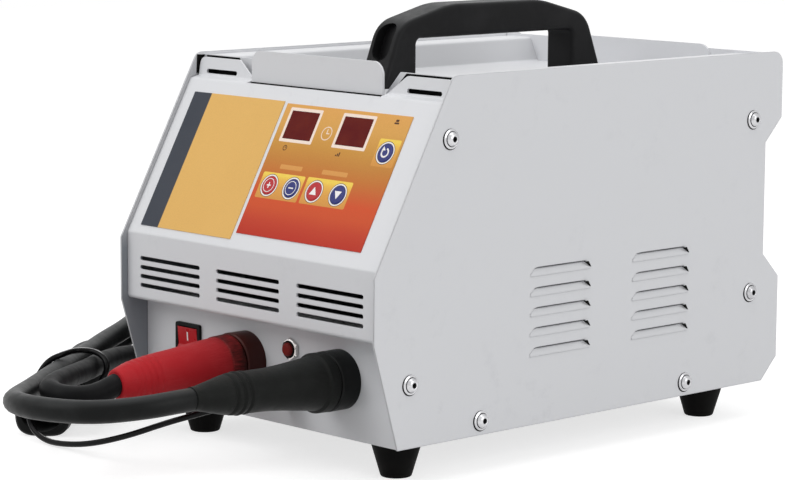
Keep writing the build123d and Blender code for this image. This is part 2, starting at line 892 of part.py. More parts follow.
rocker += rod((-pivot_half, rocker_pivot_depth, 0), (1, 0, 0), rocker_pin_radius, 2 * pivot_half)
tilted = Pos(0, rocker_pivot_depth, 0) * Rot(rocker_tilt, 0, 0) * Pos(0, -rocker_pivot_depth, 0) * rocker
keep("rocker_button", rocker_place * tilted)

# Rear panel with the fan opening
rear = block(-flange_half, flange_half, rear_in_y, rear_out_y, base_z, top_z)
rear_flange = block(flange_half - sheet, flange_half, rear_out_y - flange_depth, rear_out_y - sheet / 2, flange_low,
                    tray_z - tray_flange)
rear += [rear_flange, mirror(rear_flange, about=Plane.YZ)]
fan_z = base_z + fan_rise
fan_corner = fan_hole_pitch / 2
fan_screw_places = [(x, fan_z + z) for x in (-fan_corner, fan_corner) for z in (-fan_corner, fan_corner)]
rear -= rod((0, rear_in_y - sheet, fan_z), (0, 1, 0), fan_bore, 3 * sheet)
rear -= [rod((x, rear_in_y - sheet, z), (0, 1, 0), fan_screw_radius + hole_clearance, 3 * sheet)
         for x, z in fan_screw_places]
gland_z = base_z + gland_rise
rear -= rod((gland_x, rear_in_y - sheet, gland_z), (0, 1, 0), gland_neck_radius + hole_clearance, 3 * sheet)
rear -= side_holes(rear_holes, screw_radius + fit_clearance)
keep("rear_panel", rear)

# Fan
fan_half = fan_size / 2
fan_front_y = rear_in_y - fan_thick
frame_box = block(-fan_half, fan_half, fan_front_y, rear_in_y, fan_z - fan_half, fan_z + fan_half)
fan_frame = frame_box - rod((0, fan_front_y - sheet, fan_z), (0, 1, 0), fan_bore, fan_thick + 2 * sheet)
motor_y = rear_in_y - fan_motor_length
strut = block(-fan_strut / 2, fan_strut / 2, motor_y, rear_in_y, 0, fan_bore + sheet)
fan_frame += [Pos(0, 0, fan_z) * Rot(0, 120 * i, 0) * strut for i in range(3)]
fan_frame += rod((0, motor_y, fan_z), (0, 1, 0), fan_motor_radius, fan_motor_length)
fan_frame -= rod((0, motor_y - sheet, fan_z), (0, 1, 0), fan_shaft_radius + fit_clearance, fan_motor_length + 2 * sheet)
fan_frame -= [rod((x, fan_front_y - sheet, z), (0, 1, 0), fan_screw_radius + fit_clearance, fan_thick + 2 * sheet)
              for x, z in fan_screw_places]
keep("fan_frame", fan_frame)
hub_back_y = motor_y - fan_strut / 5
hub_front_y = hub_back_y - fan_hub_length
rotor = rod((0, hub_front_y, fan_z), (0, 1, 0), fan_hub_radius, fan_hub_length)
rotor += rod((0, hub_back_y - sheet, fan_z), (0, 1, 0), fan_shaft_radius, fan_motor_length + sheet)
blade_reach = fan_bore - fan_blade_gap
blade_cord = fan_hub_length / math.cos(math.radians(fan_blade_angle)) - 2 * fan_blade_thick
blade = block(-fan_blade_thick / 2, fan_blade_thick / 2, -blade_cord / 2, blade_cord / 2, fan_hub_radius - sheet,
              blade_reach)
blade = Rot(0, 0, fan_blade_angle) * blade
sweep_limit = rod((0, -fan_thick, 0), (0, 1, 0), blade_reach, 2 * fan_thick)
blade = blade & sweep_limit
hub_middle = (hub_front_y + hub_back_y) / 2
rotor += [Pos(0, hub_middle, fan_z) * Rot(0, 360 / fan_blade_count * i, 0) * blade for i in range(fan_blade_count)]
keep("fan_rotor", rotor)
wire_y = rear_out_y + guard_wire
guard_reach = math.hypot(fan_corner, fan_corner)
guard = []
for ring in range(guard_rings):
    radius = guard_inner_radius + ring * guard_ring_pitch
    guard.append(Plane(origin=(0, wire_y + 2 * guard_wire, fan_z), z_dir=(0, 1, 0)) * Torus(radius, guard_wire))
for i in range(4):
    arm = rod((guard_inner_radius, wire_y, 0), (1, 0, 0), guard_wire, guard_reach - guard_inner_radius)
    arm += block(guard_inner_radius, guard_inner_radius + (guard_rings - 1) * guard_ring_pitch, wire_y,
                 wire_y + 2 * guard_wire, -guard_wire / 2, guard_wire / 2)
    eye = rod((guard_reach, rear_out_y, 0), (0, 1, 0), guard_eye_radius, 2 * guard_wire)
    guard.append(Pos(0, 0, fan_z) * Rot(0, 45 + 90 * i, 0) * (arm + eye))
fan_guard = guard[0].fuse(*guard[1:])
fan_guard -= [rod((x, rear_out_y - sheet, z), (0, 1, 0), fan_screw_radius + fit_clearance, 4 * guard_wire + 2 * sheet)
              for x, z in fan_screw_places]
keep("fan_guard", fan_guard)
fan_head_y = rear_out_y + 2 * guard_wire
keep("fan_screws", *[
    rod((x, fan_front_y, z), (0, 1, 0), fan_screw_radius, fan_head_y - fan_front_y)
    + rod((x, fan_head_y, z), (0, 1, 0), 2 * fan_screw_radius, fan_screw_radius)
    for x, z in fan_screw_places
])

# Mains gland
gland = turned([
    (gland_bore, -sheet - gland_nut_length),
    (gland_neck_radius, -sheet - gland_nut_length),
    (gland_neck_radius, 0),
    (gland_hex_radius - sheet, 0),
    (gland_hex_radius - sheet, gland_hex_length),
    (gland_neck_radius + sheet / 2, gland_hex_length + gland_dome_length / 2),
    (gland_bore + sheet, gland_hex_length + gland_dome_length),
    (gland_bore, gland_hex_length + gland_dome_length),
], (gland_x, rear_out_y, gland_z), (0, 1, 0))
gland_plane = Plane(origin=(gland_x, rear_out_y, gland_z), z_dir=(0, 1, 0))
gland += gland_plane * extrude(RegularPolygon(gland_hex_radius, 6) - Circle(gland_neck_radius), amount=gland_hex_length)
gland_nut = extrude(RegularPolygon(gland_hex_radius, 6) - Circle(gland_neck_radius + fit_clearance),
                    amount=gland_nut_length)
keep("mains_gland", gland, Plane(origin=(gland_x, rear_in_y, gland_z), z_dir=(0, -1, 0)) * gland_nut)

# Top cover: rails, tray and two upstanding lips
tray_half = half_width - tray_floor_inset
rail_inner = flange_half - rail_width
rail_z = top_z - rail_drop
tray_profile = bent_sheet([
    (flange_half, top_z - tray_flange),
    (flange_half, rail_z),
    (rail_inner, rail_z),
    (tray_half, tray_z),
    (-tray_half, tray_z),
    (-rail_inner, rail_z),
    (-flange_half, rail_z),
    (-flange_half, top_z - tray_flange),
], sheet, tray_bend)
tray_front_y = nose_y + tray_front
lip_y = nose_y + lip_setback
cover = along_y(tray_profile, tray_front_y, rear_in_y)
corner_outer = flange_half - corner_side_gap
corner_plate = along_y(outline([
    (corner_outer - corner_foot_width, tray_z - sheet / 2),
    (corner_outer - corner_foot_width, tray_z + 2 * sheet),
    (corner_outer - corner_top_width, rail_z),
    (corner_outer, rail_z),
    (corner_outer, tray_z - sheet / 2),
]), tray_front_y, tray_front_y + sheet)
cover += [corner_plate, mirror(corner_plate, about=Plane.YZ)]
tongue = bent_sheet([
    (tray_front_y + sheet, tray_z),
    (lip_y + sheet, tray_z),
    (lip_y + sheet, top_z + lip_rise),
], sheet, bend_radius)
lip_half_width = tab_inner_low - lip_tab_gap
rear_lip_half_width = tray_half - rear_lip_inset
lip_sheet = along_x(tongue, -lip_half_width, lip_half_width)
lip_corners = lip_sheet.edges().filter_by(Axis.Y).group_by(Axis.Z)[-1]
cover += fillet(lip_corners, lip_corner)
rear_lip = block(-rear_lip_half_width, rear_lip_half_width, rear_in_y - sheet, rear_in_y, tray_z - sheet,
                 top_z + rear_lip_rise)
cover += fillet(rear_lip.edges().filter_by(Axis.Y).group_by(Axis.Z)[-1], lip_corner)
handle_gap_half = handle_half_length - handle_leg
handle_shoulder = handle_half_length - handle_shoulder_inset
handle_crown = handle_half_length - handle_crown_inset
handle_screw_offset = handle_gap_half + handle_screw_inset
handle_screw_y = [handle_centre_y - handle_screw_offset, handle_centre_y + handle_screw_offset]
cover -= [rod((0, y, tray_z - 2 * sheet), (0, 0, 1), handle_screw_radius + hole_clearance, 3 * sheet)
          for y in handle_screw_y]
keep("top_cover", cover)

# Carry handle
crown_z = tray_z + handle_rise
handle_points = [
    (-handle_half_length, tray_z),
    (-handle_shoulder, tray_z + handle_shoulder_rise),
    (-handle_crown, crown_z),
    (handle_crown, crown_z),
    (handle_shoulder, tray_z + handle_shoulder_rise),
    (handle_half_length, tray_z),
]
handle_radii = [handle_shoulder_radius, handle_crown_radius, handle_crown_radius, handle_shoulder_radius]
handle_skin = FilletPolyline(*handle_points, radius=handle_radii)
handle_face = make_face(Curve() + [handle_skin, Line(handle_points[-1], handle_points[0])])
gap_face = outline([
    (-handle_gap_half, tray_z - sheet),
    (-handle_gap_half, tray_z + handle_gap_rise),
    (handle_gap_half, tray_z + handle_gap_rise),
    (handle_gap_half, tray_z - sheet),
])
gap_face = fillet(gap_face.vertices().group_by(Axis.Y)[-1], handle_gap_radius)
handle_half_width = handle_width / 2
handle = along_x(handle_face - gap_face, -handle_half_width, handle_half_width)
handle_rims = handle.edges().filter_by(lambda e: abs(abs(e.center().X) - handle_half_width) < 0.01)
handle_rims = handle_rims.filter_by(lambda e: e.center().Z > tray_z + 0.01)
handle = fillet(handle_rims, handle_edge)
lean = math.atan2(handle_half_length - handle_shoulder, handle_shoulder_rise)
pocket_length = (handle_pocket_high - handle_pocket_low) / math.cos(lean)
pocket_shape = SlotOverall(pocket_length, handle_pocket_width)
for end in (-1, 1):
    pocket_z = (handle_pocket_low + handle_pocket_high) / 2
    pocket_y = end * (handle_half_length - pocket_z * math.tan(lean))
    pocket_plane = Plane(
        origin=(0, pocket_y, tray_z + pocket_z),
        x_dir=(0, -end * math.sin(lean), math.cos(lean)),
        z_dir=(0, end * math.cos(lean), math.sin(lean)),
    )
    handle -= pocket_plane * extrude(pocket_shape, amount=-handle_pocket_depth)
    handle -= pocket_plane * extrude(pocket_shape, amount=handle_pocket_depth)
handle = Pos(0, handle_centre_y, 0) * handle
handle -= [rod((0, y, tray_z - sheet), (0, 0, 1), handle_screw_radius + fit_clearance, handle_screw_reach + 2 * sheet)
           for y in handle_screw_y]
keep("carry_handle", handle)
screw_low = tray_z - sheet
keep("handle_screws", *[
    rod((0, y, screw_low), (0, 0, 1), handle_screw_radius, handle_screw_reach + sheet)
    + rod((0, y, screw_low - handle_screw_radius), (0, 0, 1), 2 * handle_screw_radius, handle_screw_radius)
    for y in handle_screw_y
])

# Transformer on its bracket
core_low_z = floor_z + bracket_thick
window_low_z = core_low_z + yoke_height
core_high_z = window_low_z + core_window_height + yoke_height
core_y0 = core_centre_y - core_thick / 2
core_y1 = core_centre_y + core_thick / 2
leg_half = leg_width / 2
iron = block(-core_width / 2, core_width / 2, core_y0, core_y1, core_low_z, core_high_z)
for end in (-1, 1):
    middle = end * (leg_half + core_window_width / 2)
    iron -= block(middle - core_window_width / 2, middle + core_window_width / 2, core_y0 - 1, core_y1 + 1,
                  window_low_z, window_low_z + core_window_height)
keep("transformer_core", iron)
bracket_half = core_width / 2 + bracket_overhang
keep("transformer_bracket", block(-bracket_half, bracket_half, core_y0 + bracket_inset, core_y1 - bracket_inset,
                                  floor_z, core_low_z))
coil_wall = core_window_width - winding_gap - winding_slack


def winding(z0, z1):
    """Coil around the middle leg of the core."""
    x_in = leg_half + winding_gap
    y_in = core_thick / 2 + winding_gap
    outer = block(-x_in - coil_wall, x_in + coil_wall, core_centre_y - y_in - coil_wall,
                  core_centre_y + y_in + coil_wall, z0, z1)
    outer = fillet(outer.edges().filter_by(Axis.Z), coil_wall / 3)
    return outer - block(-x_in, x_in, core_centre_y - y_in, core_centre_y + y_in, z0 - 1, z1 + 1)


secondary_z = window_low_z + secondary_lift
primary_z = secondary_z + secondary_height + winding_break
keep("secondary_winding", winding(secondary_z, secondary_z + secondary_height))
keep("primary_winding", winding(primary_z, primary_z + primary_height))

# Busbars from the socket cores to the secondary winding
bar_front_y = face_y + core_back + core_tail_length
bar_back_y = core_centre_y - core_thick / 2 - winding_gap - coil_wall
bar_low_z = socket_z - bar_height / 2
bar_points = [
    (black_socket_x + bar_thick / 2, bar_front_y),
    (black_socket_x + bar_thick / 2, face_y + bar_bend_front),
    (bar_join_x + bar_thick / 2, bar_back_y - bar_bend_back),
    (bar_join_x + bar_thick / 2, bar_back_y),
]
bar_face = bent_sheet(bar_points, bar_thick, bar_thick)
black_bar = Pos(0, 0, bar_low_z) * extrude(bar_face, amount=bar_height)
red_bar = block(red_socket_x - bar_thick / 2, red_socket_x + bar_thick / 2, bar_front_y, bar_back_y, bar_low_z,
                bar_low_z + bar_height)
keep("output_busbars", black_bar, red_bar)
module_y = face_y + module_front
module_top = floor_z + module_height
module = block(module_x - module_width / 2, module_x + module_width / 2, module_y, module_y + module_length, floor_z,
               module_top)
terminal_pitch = module_length / terminal_count
module += [rod((module_x, module_y + terminal_pitch * (i + 0.5), module_top), (0, 0, 1), terminal_radius,
               terminal_height) for i in range(terminal_count)]
keep("thyristor_module", module)

# Pulling gun lying on the floor, with its chuck and trigger
gun_turn = math.radians(gun_heading)
gun_axis = Vector(math.cos(gun_turn), math.sin(gun_turn), 0)
gun_left = Vector(-math.sin(gun_turn), math.cos(gun_turn), 0)
gun_nose = Vector(gun_nose_x, gun_nose_y, gun_radius)
gun_tail = gun_nose + gun_axis * gun_length
gun_cylinder_end = gun_length - gun_tail_length
gun = turned([
    (0, chuck_length),
    (gun_recess_radius, chuck_length),
    (gun_recess_radius, 0),
    (gun_radius - gun_rim, 0),
    (gun_radius, gun_rim),
    (gun_radius, gun_cylinder_end),
    (gun_tail_radius, gun_length),
    (0, gun_length),
], gun_nose, gun_axis)
gun_plane = Plane(origin=gun_nose, x_dir=gun_left, z_dir=gun_axis)
slot_floor = gun_radius + trigger_proud - trigger_depth - trigger_travel - trigger_gap
half_trigger = trigger_width / 2
trigger_slot = block(slot_floor, 2 * gun_radius, -half_trigger - trigger_gap, half_trigger + trigger_gap,
                     trigger_place - trigger_gap, trigger_place + trigger_length + trigger_gap)
keep("gun_body", gun - gun_plane * trigger_slot)
trigger_top = gun_radius + trigger_proud
trigger = block(trigger_top - trigger_depth, trigger_top, -half_trigger, half_trigger, trigger_place,
                trigger_place + trigger_length)
trigger = fillet(trigger.edges().group_by(Axis.X)[-1], trigger_gap * 4)
keep("gun_trigger", gun_plane * trigger)
chuck = turned([
    (chuck_bore, chuck_setback),
    (chuck_radius * 0.75, chuck_setback),
    (chuck_radius, chuck_setback + chuck_length / 4),
    (chuck_radius, chuck_length),
    (0, chuck_length),
    (0, chuck_setback + chuck_bore_depth),
    (chuck_bore, chuck_setback + chuck_bore_depth),
], gun_nose, gun_axis)
keep("gun_chuck", chuck)


# Cord coils, as plain rings
def ring(x, y, z0, z1, radius, half_section):
    """Plain ring standing for a stack of turns."""
    tall = z1 - z0
    outer = rod((x, y, z0), (0, 0, 1), radius + half_section, tall)
    return outer - rod((x, y, z0 - 1), (0, 0, 1), radius - half_section, tall + 2)


cable_radius = cable_diameter / 2
gun_coil_top = gun_coil_turns * cable_diameter
ground_coil_low = gun_coil_top + coil_gap
ground_coil_top = ground_coil_low + ground_coil_turns * cable_diameter
keep("gun_coil", ring(coil_x, coil_y, 0, gun_coil_top, coil_radius, cable_radius))
keep("ground_coil", ring(coil_x, coil_y, ground_coil_low, ground_coil_top, coil_radius, cable_radius))
keep("lead_coil", ring(lead_coil_x, lead_coil_y, 0, lead_coil_layers * lead_diameter, lead_coil_radius, lead_diameter))

# Gun cable: plug to coil, then coil to gun
red_tail = Vector(red_socket_x, collar_y, socket_z) + plug_axis(red_plug_tilt) * (red_plug_length - cord_seat)
black_tail = Vector(black_socket_x, collar_y, socket_z) + plug_axis(black_plug_tilt) * (black_plug_length - cord_seat)
gun_entry = gun_tail - gun_axis * cord_seat
gun_cable_out = [
    (red_tail.X, red_tail.Y, red_tail.Z),
    (-20, -294, 60),
    (-23.5, -305, 59.5),
    (-34, -313.5, 58.5),
    (-47.5, -314, 57.5),
    (-60, -306, 56.5),
    (-74, -290, 55),
    (-98, -260, 51.5),
    (-125, -226, 48),
    (-152, -193, 44.5),
    (-176, -160, 39),
    (-193, -125, 32),
    (-199, -87, 23),
    (-193, -48, 14),
    (-178, -11, 8),
    (-161, 24, 7.4),
]
gun_cable_back = [
    (-320, 30, 36.75),
    (-320, -5, 33),
    (-315, -38, 27),
    (-304, -65, 21),
    (gun_entry.X, gun_entry.Y, gun_entry.Z),
]
keep("gun_cable", cord(gun_cable_out, cable_diameter, "gun cable out"),
     cord(gun_cable_back, cable_diameter, "gun cable back"))

# Ground cable: plug to coil, then coil to the magnet's lug
ground_cable_out = [
    (black_tail.X, black_tail.Y, black_tail.Z),
    (72, -302, 66),
    (67, -328, 63.8),
    (47, -355, 60.6),
    (10, -369, 59.4),
    (-28, -361, 61),
    (-59, -335, 58.5),
    (-86, -303, 54),
    (-114, -269, 49.5),
    (-143, -235, 45),
    (-172, -201, 43.5),
    (-202, -166, 42.5),
    (-231, -129, 42.5),
    (-257, -91, 43),
    (-281, -53, 48),
    (-303, -20, 52),
    (-317, 12, 52),
]
ground_cable_back = [
    (-316, 4, 66.4),
    (-325, 33, 65),
    (-328, 64, 59),
    (-325, 95, 47),
    (-319, 124, 33),
    (-312, 151, 22),
    (-305, 178, 17.5),
]
keep("ground_cable", cord(ground_cable_out, cable_diameter, "ground cable out"),
     cord(ground_cable_back, cable_diameter, "ground cable back"))

# Trigger lead: plug to its small coil, then coil to the gun
lead_tail_y = lead_plug_y - lead_plug_length + cord_seat
control_lead_out = [
    (lead_socket_x, lead_tail_y, lead_z),
    (23, -226, 45.5),
    (8, -236, 39.5),
    (-18, -244, 30.3),
    (-50, -251, 17.4),
    (-84, -256, 7.2),
    (-112, -258, 3),
    (-132.2, -257.7, 2.6),
    (-146.8, -257.4, 8.4),
    (-151.8, -256.4, 18.4),
    (-153.3, -251.9, 29.5),
    (-151, -249.7, 41.6),
    (-147.5, -243, 53),
    (-143.5, -232.5, 57),
    (-146, -221, 57.8),
    (-139, -212.5, 57.6),
    (-128, -212, 56.2),
    (-120.5, -213, 52),
    (-119, -214.5, 46),
    (-121, -217, 40.5),
    (-123.5, -218, 35),
    (-127, -214, 30),
    (-134, -205.5, 24),
    (-147, -193.5, 13),
    (-162, -180, 4.5),
    (-178, -165, 3),
    (-193, -150, 3),
    (-207, -128, 3),
    (-213, -105, 3),
]
control_lead_back = [
    (-241, -76.6, 22),
    (-253, -79.5, 21),
    (-266, -86.2, 18.6),
]
keep("control_lead", cord(control_lead_out, lead_diameter, "control lead out"),
     cord(control_lead_back, lead_diameter, "control lead back"))

# Ground magnet and the lug on its stud
magnet = turned([
    (0, 0),
    (magnet_radius - 1, 0),
    (magnet_radius, 1),
    (magnet_radius, magnet_height - 2),
    (magnet_radius - 2, magnet_height),
    (stud_radius, magnet_height),
    (stud_radius, magnet_height + stud_height),
    (0, magnet_height + stud_height),
], (magnet_x, magnet_y, 0), (0, 0, 1))
keep("ground_magnet", magnet)
cable_end = Vector(*ground_cable_back[-1])
cable_way = (cable_end - Vector(*ground_cable_back[-2])).normalized()
barrel = rod(cable_end - cable_way * cord_seat, cable_way, lug_barrel_radius, lug_barrel_length)
barrel_end = cable_end + cable_way * (lug_barrel_length - cord_seat)
tongue_z = magnet_height
tongue_way = Vector(magnet_x - barrel_end.X, magnet_y - barrel_end.Y, 0)
tongue_plane = Plane(origin=(magnet_x, magnet_y, tongue_z), x_dir=tongue_way, z_dir=(0, 0, 1))
tongue_reach = tongue_way.length + lug_barrel_radius
tongue_shape = Circle(lug_width / 2) + Pos(-tongue_reach / 2, 0) * Rectangle(tongue_reach, lug_width)
lug = barrel + tongue_plane * extrude(tongue_shape, amount=lug_thick)
lug -= rod((magnet_x, magnet_y, tongue_z - lug_thick), (0, 0, 1), stud_radius + fit_clearance, 4 * lug_thick)
lug_nut = extrude(RegularPolygon(2 * stud_radius, 6) - Circle(stud_radius + fit_clearance), amount=stud_radius)
keep("ground_lug", lug, Plane(origin=(magnet_x, magnet_y, tongue_z + lug_thick)) * lug_nut)

# One file for each piece
os.makedirs("parts", exist_ok=True)
for name, solids in parts.items():
    export_step(Compound(solids), os.path.join("parts", name + ".step"))
print(len(parts), "pieces")
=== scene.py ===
"""Looks of the dent pulling welder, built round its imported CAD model.

Sizes are millimetres unless a name or a docstring says otherwise.
"""

import logging
import math
from dataclasses import dataclass, field
from enum import Enum

import bmesh
import bpy
import numpy as np
from mathutils import Matrix, Vector


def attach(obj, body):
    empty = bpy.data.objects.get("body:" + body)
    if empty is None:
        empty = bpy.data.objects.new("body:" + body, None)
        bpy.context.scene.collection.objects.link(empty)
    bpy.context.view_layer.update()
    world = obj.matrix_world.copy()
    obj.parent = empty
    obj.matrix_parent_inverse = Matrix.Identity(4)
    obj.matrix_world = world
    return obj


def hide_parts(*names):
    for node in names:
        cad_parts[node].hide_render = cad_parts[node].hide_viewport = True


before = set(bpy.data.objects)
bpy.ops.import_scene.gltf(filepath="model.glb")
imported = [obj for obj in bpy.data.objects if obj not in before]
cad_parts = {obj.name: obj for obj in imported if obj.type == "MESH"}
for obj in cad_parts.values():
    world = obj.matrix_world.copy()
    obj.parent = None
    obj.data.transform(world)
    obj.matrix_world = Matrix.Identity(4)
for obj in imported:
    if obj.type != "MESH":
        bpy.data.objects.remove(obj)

LOG = logging.getLogger("welder")
MM = 0.001
Colour = tuple[float, float, float, float]
Point = tuple[float, float, float]
Socket = bpy.types.NodeSocket
X_WAY: Point = (1.0, 0.0, 0.0)
Y_WAY: Point = (0.0, 1.0, 0.0)
Z_WAY: Point = (0.0, 0.0, 1.0)
FRONT: Point = (0.0, -1.0, 0.0)
# Points of a mesh that are nearer than this are one, and edges shorter than this go (metres)
WELD = 2e-6
SLIVER = 1e-7
# Gap that keeps a thin plate off the face that it lies on
SKIN = 0.02


class Body(str, Enum):
    """The moving groups that pieces ride on."""

    CHASSIS = "chassis"
    TIME_PLUS = "time_plus_button"
    TIME_MINUS = "time_minus_button"
    POWER_UP = "power_up_button"
    POWER_DOWN = "power_down_button"
    CYCLE = "cycle_button"
    ROCKER = "rocker"
    BREAKER = "breaker_reset"


class Symbol(Enum):
    """What is printed on a key."""

    PLUS = "plus"
    MINUS = "minus"
    UP = "up"
    DOWN = "down"
    CYCLE = "cycle"


def srgb(red: float, green: float, blue: float) -> Colour:
    """Turn screen values into the linear colour that a shader takes.

    Args:
        red, green, blue: Screen values from 0 to 255.

    Returns:
        Linear red, green, blue and an alpha of 1.
    """
    share = np.array([red, green, blue]) / 255
    line = np.where(share <= 0.04045, share / 12.92, ((share + 0.055) / 1.055) ** 2.4)
    return (*map(float, line), 1.0)


def ink(red: float, green: float, blue: float, gloss: float = 0.018) -> Colour:
    """Colour of a print under a glossy film, which adds its own light: the linear colour less the gloss.

    Args:
        red, green, blue: Screen values that the print shows, from 0 to 255.
        gloss: Light that the film adds.

    Returns:
        Linear red, green, blue and an alpha of 1.
    """
    line = np.maximum(np.array(srgb(red, green, blue)[:3]) - gloss, 0.002)
    return (*map(float, line), 1.0)


# ---------------------------------------------------------------- surfaces


@dataclass
class Grid:
    """Points in rows and columns that make one sheet of quads.

    Fields:
        points: Array of rows x columns x 3, millimetres.
        wrap_rows: The last row joins the first.
        wrap_columns: The last column joins the first.
    """

    points: np.ndarray
    wrap_rows: bool = False
    wrap_columns: bool = True

    def faces(self, offset: int) -> np.ndarray:
        """Corner numbers of the quads.

        Args:
            offset: Number of the grid's first point in the whole mesh.

        Returns:
            Array of quads x 4.
        """
        rows, columns = self.points.shape[:2]
        index = np.arange(rows * columns).reshape(rows, columns) + offset
        index = np.vstack([index, index[:1]]) if self.wrap_rows else index
        index = np.hstack([index, index[:, :1]]) if self.wrap_columns else index
        corners = [index[:-1, :-1], index[:-1, 1:], index[1:, 1:], index[1:, :-1]]
        return np.stack(corners, -1).reshape(-1, 4)


def linked(name: str, data: bpy.types.ID) -> bpy.types.Object:
    """New object in the scene, at the origin."""
    made = bpy.data.objects.new(name, data)
    bpy.context.scene.collection.objects.link(made)
    return made


def mesh_piece(name: str, grids: list[Grid], sharp_deg: float = 35.0) -> bpy.types.Object:
    """Put grids into one mesh object whose poles and seams are closed and whose faces point outwards.

    Args:
        name: Name of the piece.
        grids: Sheets that bound closed forms.
        sharp_deg: Edges that turn by more than this stay crisp.

    Returns:
        The object, at the origin.
    """
    starts = np.cumsum([0] + [g.points.shape[0] * g.points.shape[1] for g in grids])
    points = np.concatenate([g.points.reshape(-1, 3) for g in grids]) * MM
    quads = np.concatenate([g.faces(int(s)) for g, s in zip(grids, starts)])
    mesh = bpy.data.meshes.new(name)
    mesh.from_pydata(points, [], quads)
    work = bmesh.new()
    work.from_mesh(mesh)
    bmesh.ops.remove_doubles(work, verts=work.verts, dist=WELD)
    bmesh.ops.dissolve_degenerate(work, edges=work.edges, dist=SLIVER)
    bmesh.ops.recalc_face_normals(work, faces=work.faces)
    work.to_mesh(mesh)
    work.free()
    mesh.polygons.foreach_set("use_smooth", np.ones(len(mesh.polygons), bool))
    mesh.set_sharp_from_angle(angle=math.radians(sharp_deg))
    return linked(name, mesh)


def across(axis: np.ndarray) -> tuple[np.ndarray, np.ndarray]:
    """Two unit vectors square to an axis and to each other."""
    axis = np.asarray(axis, float)
    helper = np.array(Z_WAY) if abs(axis[2]) < 0.9 else np.array(X_WAY)
    first = np.cross(helper, axis)
    first /= np.linalg.norm(first)
    return first, np.cross(axis, first)


def rounded(corners: list[tuple[float, float, float]], steps: int = 6) -> np.ndarray:
    """Profile with its corners rounded: each corner becomes an arc that touches both of its edges.

    Args:
        corners: (radius, along, rounding) for each corner, in order.
        steps: Points on each arc.

    Returns:
        Array of points x 2.
    """
    spots = np.array([c[:2] for c in corners], float)
    parts = [spots[:1]]
    for before, here, after, (_, _, size) in zip(spots, spots[1:], spots[2:], corners[1:-1]):
        back, ahead = before - here, after - here
        reach_back, reach_ahead = np.linalg.norm(back), np.linalg.norm(ahead)
        back, ahead = back / reach_back, ahead / reach_ahead
        turn = math.acos(float(np.clip(back @ ahead, -1, 1)))
        if size <= 0 or turn > math.pi - 0.02:
            parts.append(here[None])
            continue
        cut = min(size / math.tan(turn / 2), 0.49 * reach_back, 0.49 * reach_ahead)
        share = np.linspace(0, 1, steps)[:, None]
        first, second = here + back * cut, here + ahead * cut
        parts.append((1 - share) ** 2 * first + 2 * share * (1 - share) * here + share**2 * second)
    parts.append(spots[-1:])
    return np.concatenate(parts)


def revolved(profile: np.ndarray, start: Point, axis: Point, steps: int, swell: np.ndarray | float = 0.0) -> Grid:
    """Turned surface: start + axis * along + (radius + swell) * (cos t, sin t) for t once round.

    Args:
        profile: (radius, along) points.
        start: Where along is 0.
        axis: Unit direction of along.
        steps: Columns round the axis.
        swell: What each row and column adds to the radius.

    Returns:
        The grid, closed round the axis.
    """
    first, second = across(np.array(axis))
    angle = np.linspace(0, 2 * math.pi, steps, endpoint=False)
    ring = np.cos(angle)[:, None] * first + np.sin(angle)[:, None] * second
    along = np.asarray(start, float) + profile[:, 1:2] * np.asarray(axis, float)
    radius = np.broadcast_to(profile[:, :1] + swell, (len(profile), steps))
    return Grid(along[:, None, :] + radius[..., None] * ring[None])


@dataclass(frozen=True)
class Placing:
    """A plane in space: a point (across, up, out) on it goes to origin + across * x + up * y + out * z."""

    origin: Point
    x: Point
    y: Point
    z: Point

    def __call__(self, local: np.ndarray) -> np.ndarray:
        """World places of local points."""
        return np.asarray(self.origin) + np.asarray(local, float) @ np.array([self.x, self.y, self.z])


def slab(outline: np.ndarray, place: Placing, low: float, high: float) -> Grid:
    """Flat plate: an outline carried from one level to another, with both ends drawn in to its middle.

    Args:
        outline: Points x 2 round a shape that its middle sees all of.
        place: Puts (across, up, out) points where they belong.
        low, high: Levels of the two faces.

    Returns:
        The closed grid.
    """
    middle = outline.mean(0)[None].repeat(len(outline), 0)
    sheets = [(middle, low), (outline, low), (outline, high), (middle, high)]
    local = np.stack([np.column_stack([flat, np.full(len(flat), level)]) for flat, level in sheets])
    return Grid(place(local))


def band(inner: float, outer: float, begin_deg: float, end_deg: float, centre: tuple[float, float],
         place: Placing, low: float, high: float, steps: int = 48) -> Grid:
    """Flat ring or part of one: a small rectangle of radius and level carried round a centre.

    Args:
        inner, outer: Radii of its edges.
        begin_deg, end_deg: Where it starts and stops.
        centre: Middle on the plane.
        place: Puts (across, up, out) points where they belong.
        low, high: Levels of its faces.
        steps: Points round it.

    Returns:
        The grid, capped where it isn't a whole turn.
    """
    whole = abs(end_deg - begin_deg) >= 359.9
    angle = np.radians(np.linspace(begin_deg, end_deg, steps, endpoint=not whole))
    radius = np.array([inner, outer, outer, inner])
    level = np.array([low, low, high, high])
    flat = np.stack([
        centre[0] + np.cos(angle)[:, None] * radius,
        centre[1] + np.sin(angle)[:, None] * radius,
        np.broadcast_to(level, (len(angle), 4)),
    ], -1)
    if not whole:
        flat = np.concatenate([flat[:1].mean(1, keepdims=True).repeat(4, 1), flat,
                               flat[-1:].mean(1, keepdims=True).repeat(4, 1)])
    return Grid(place(flat), wrap_rows=whole)


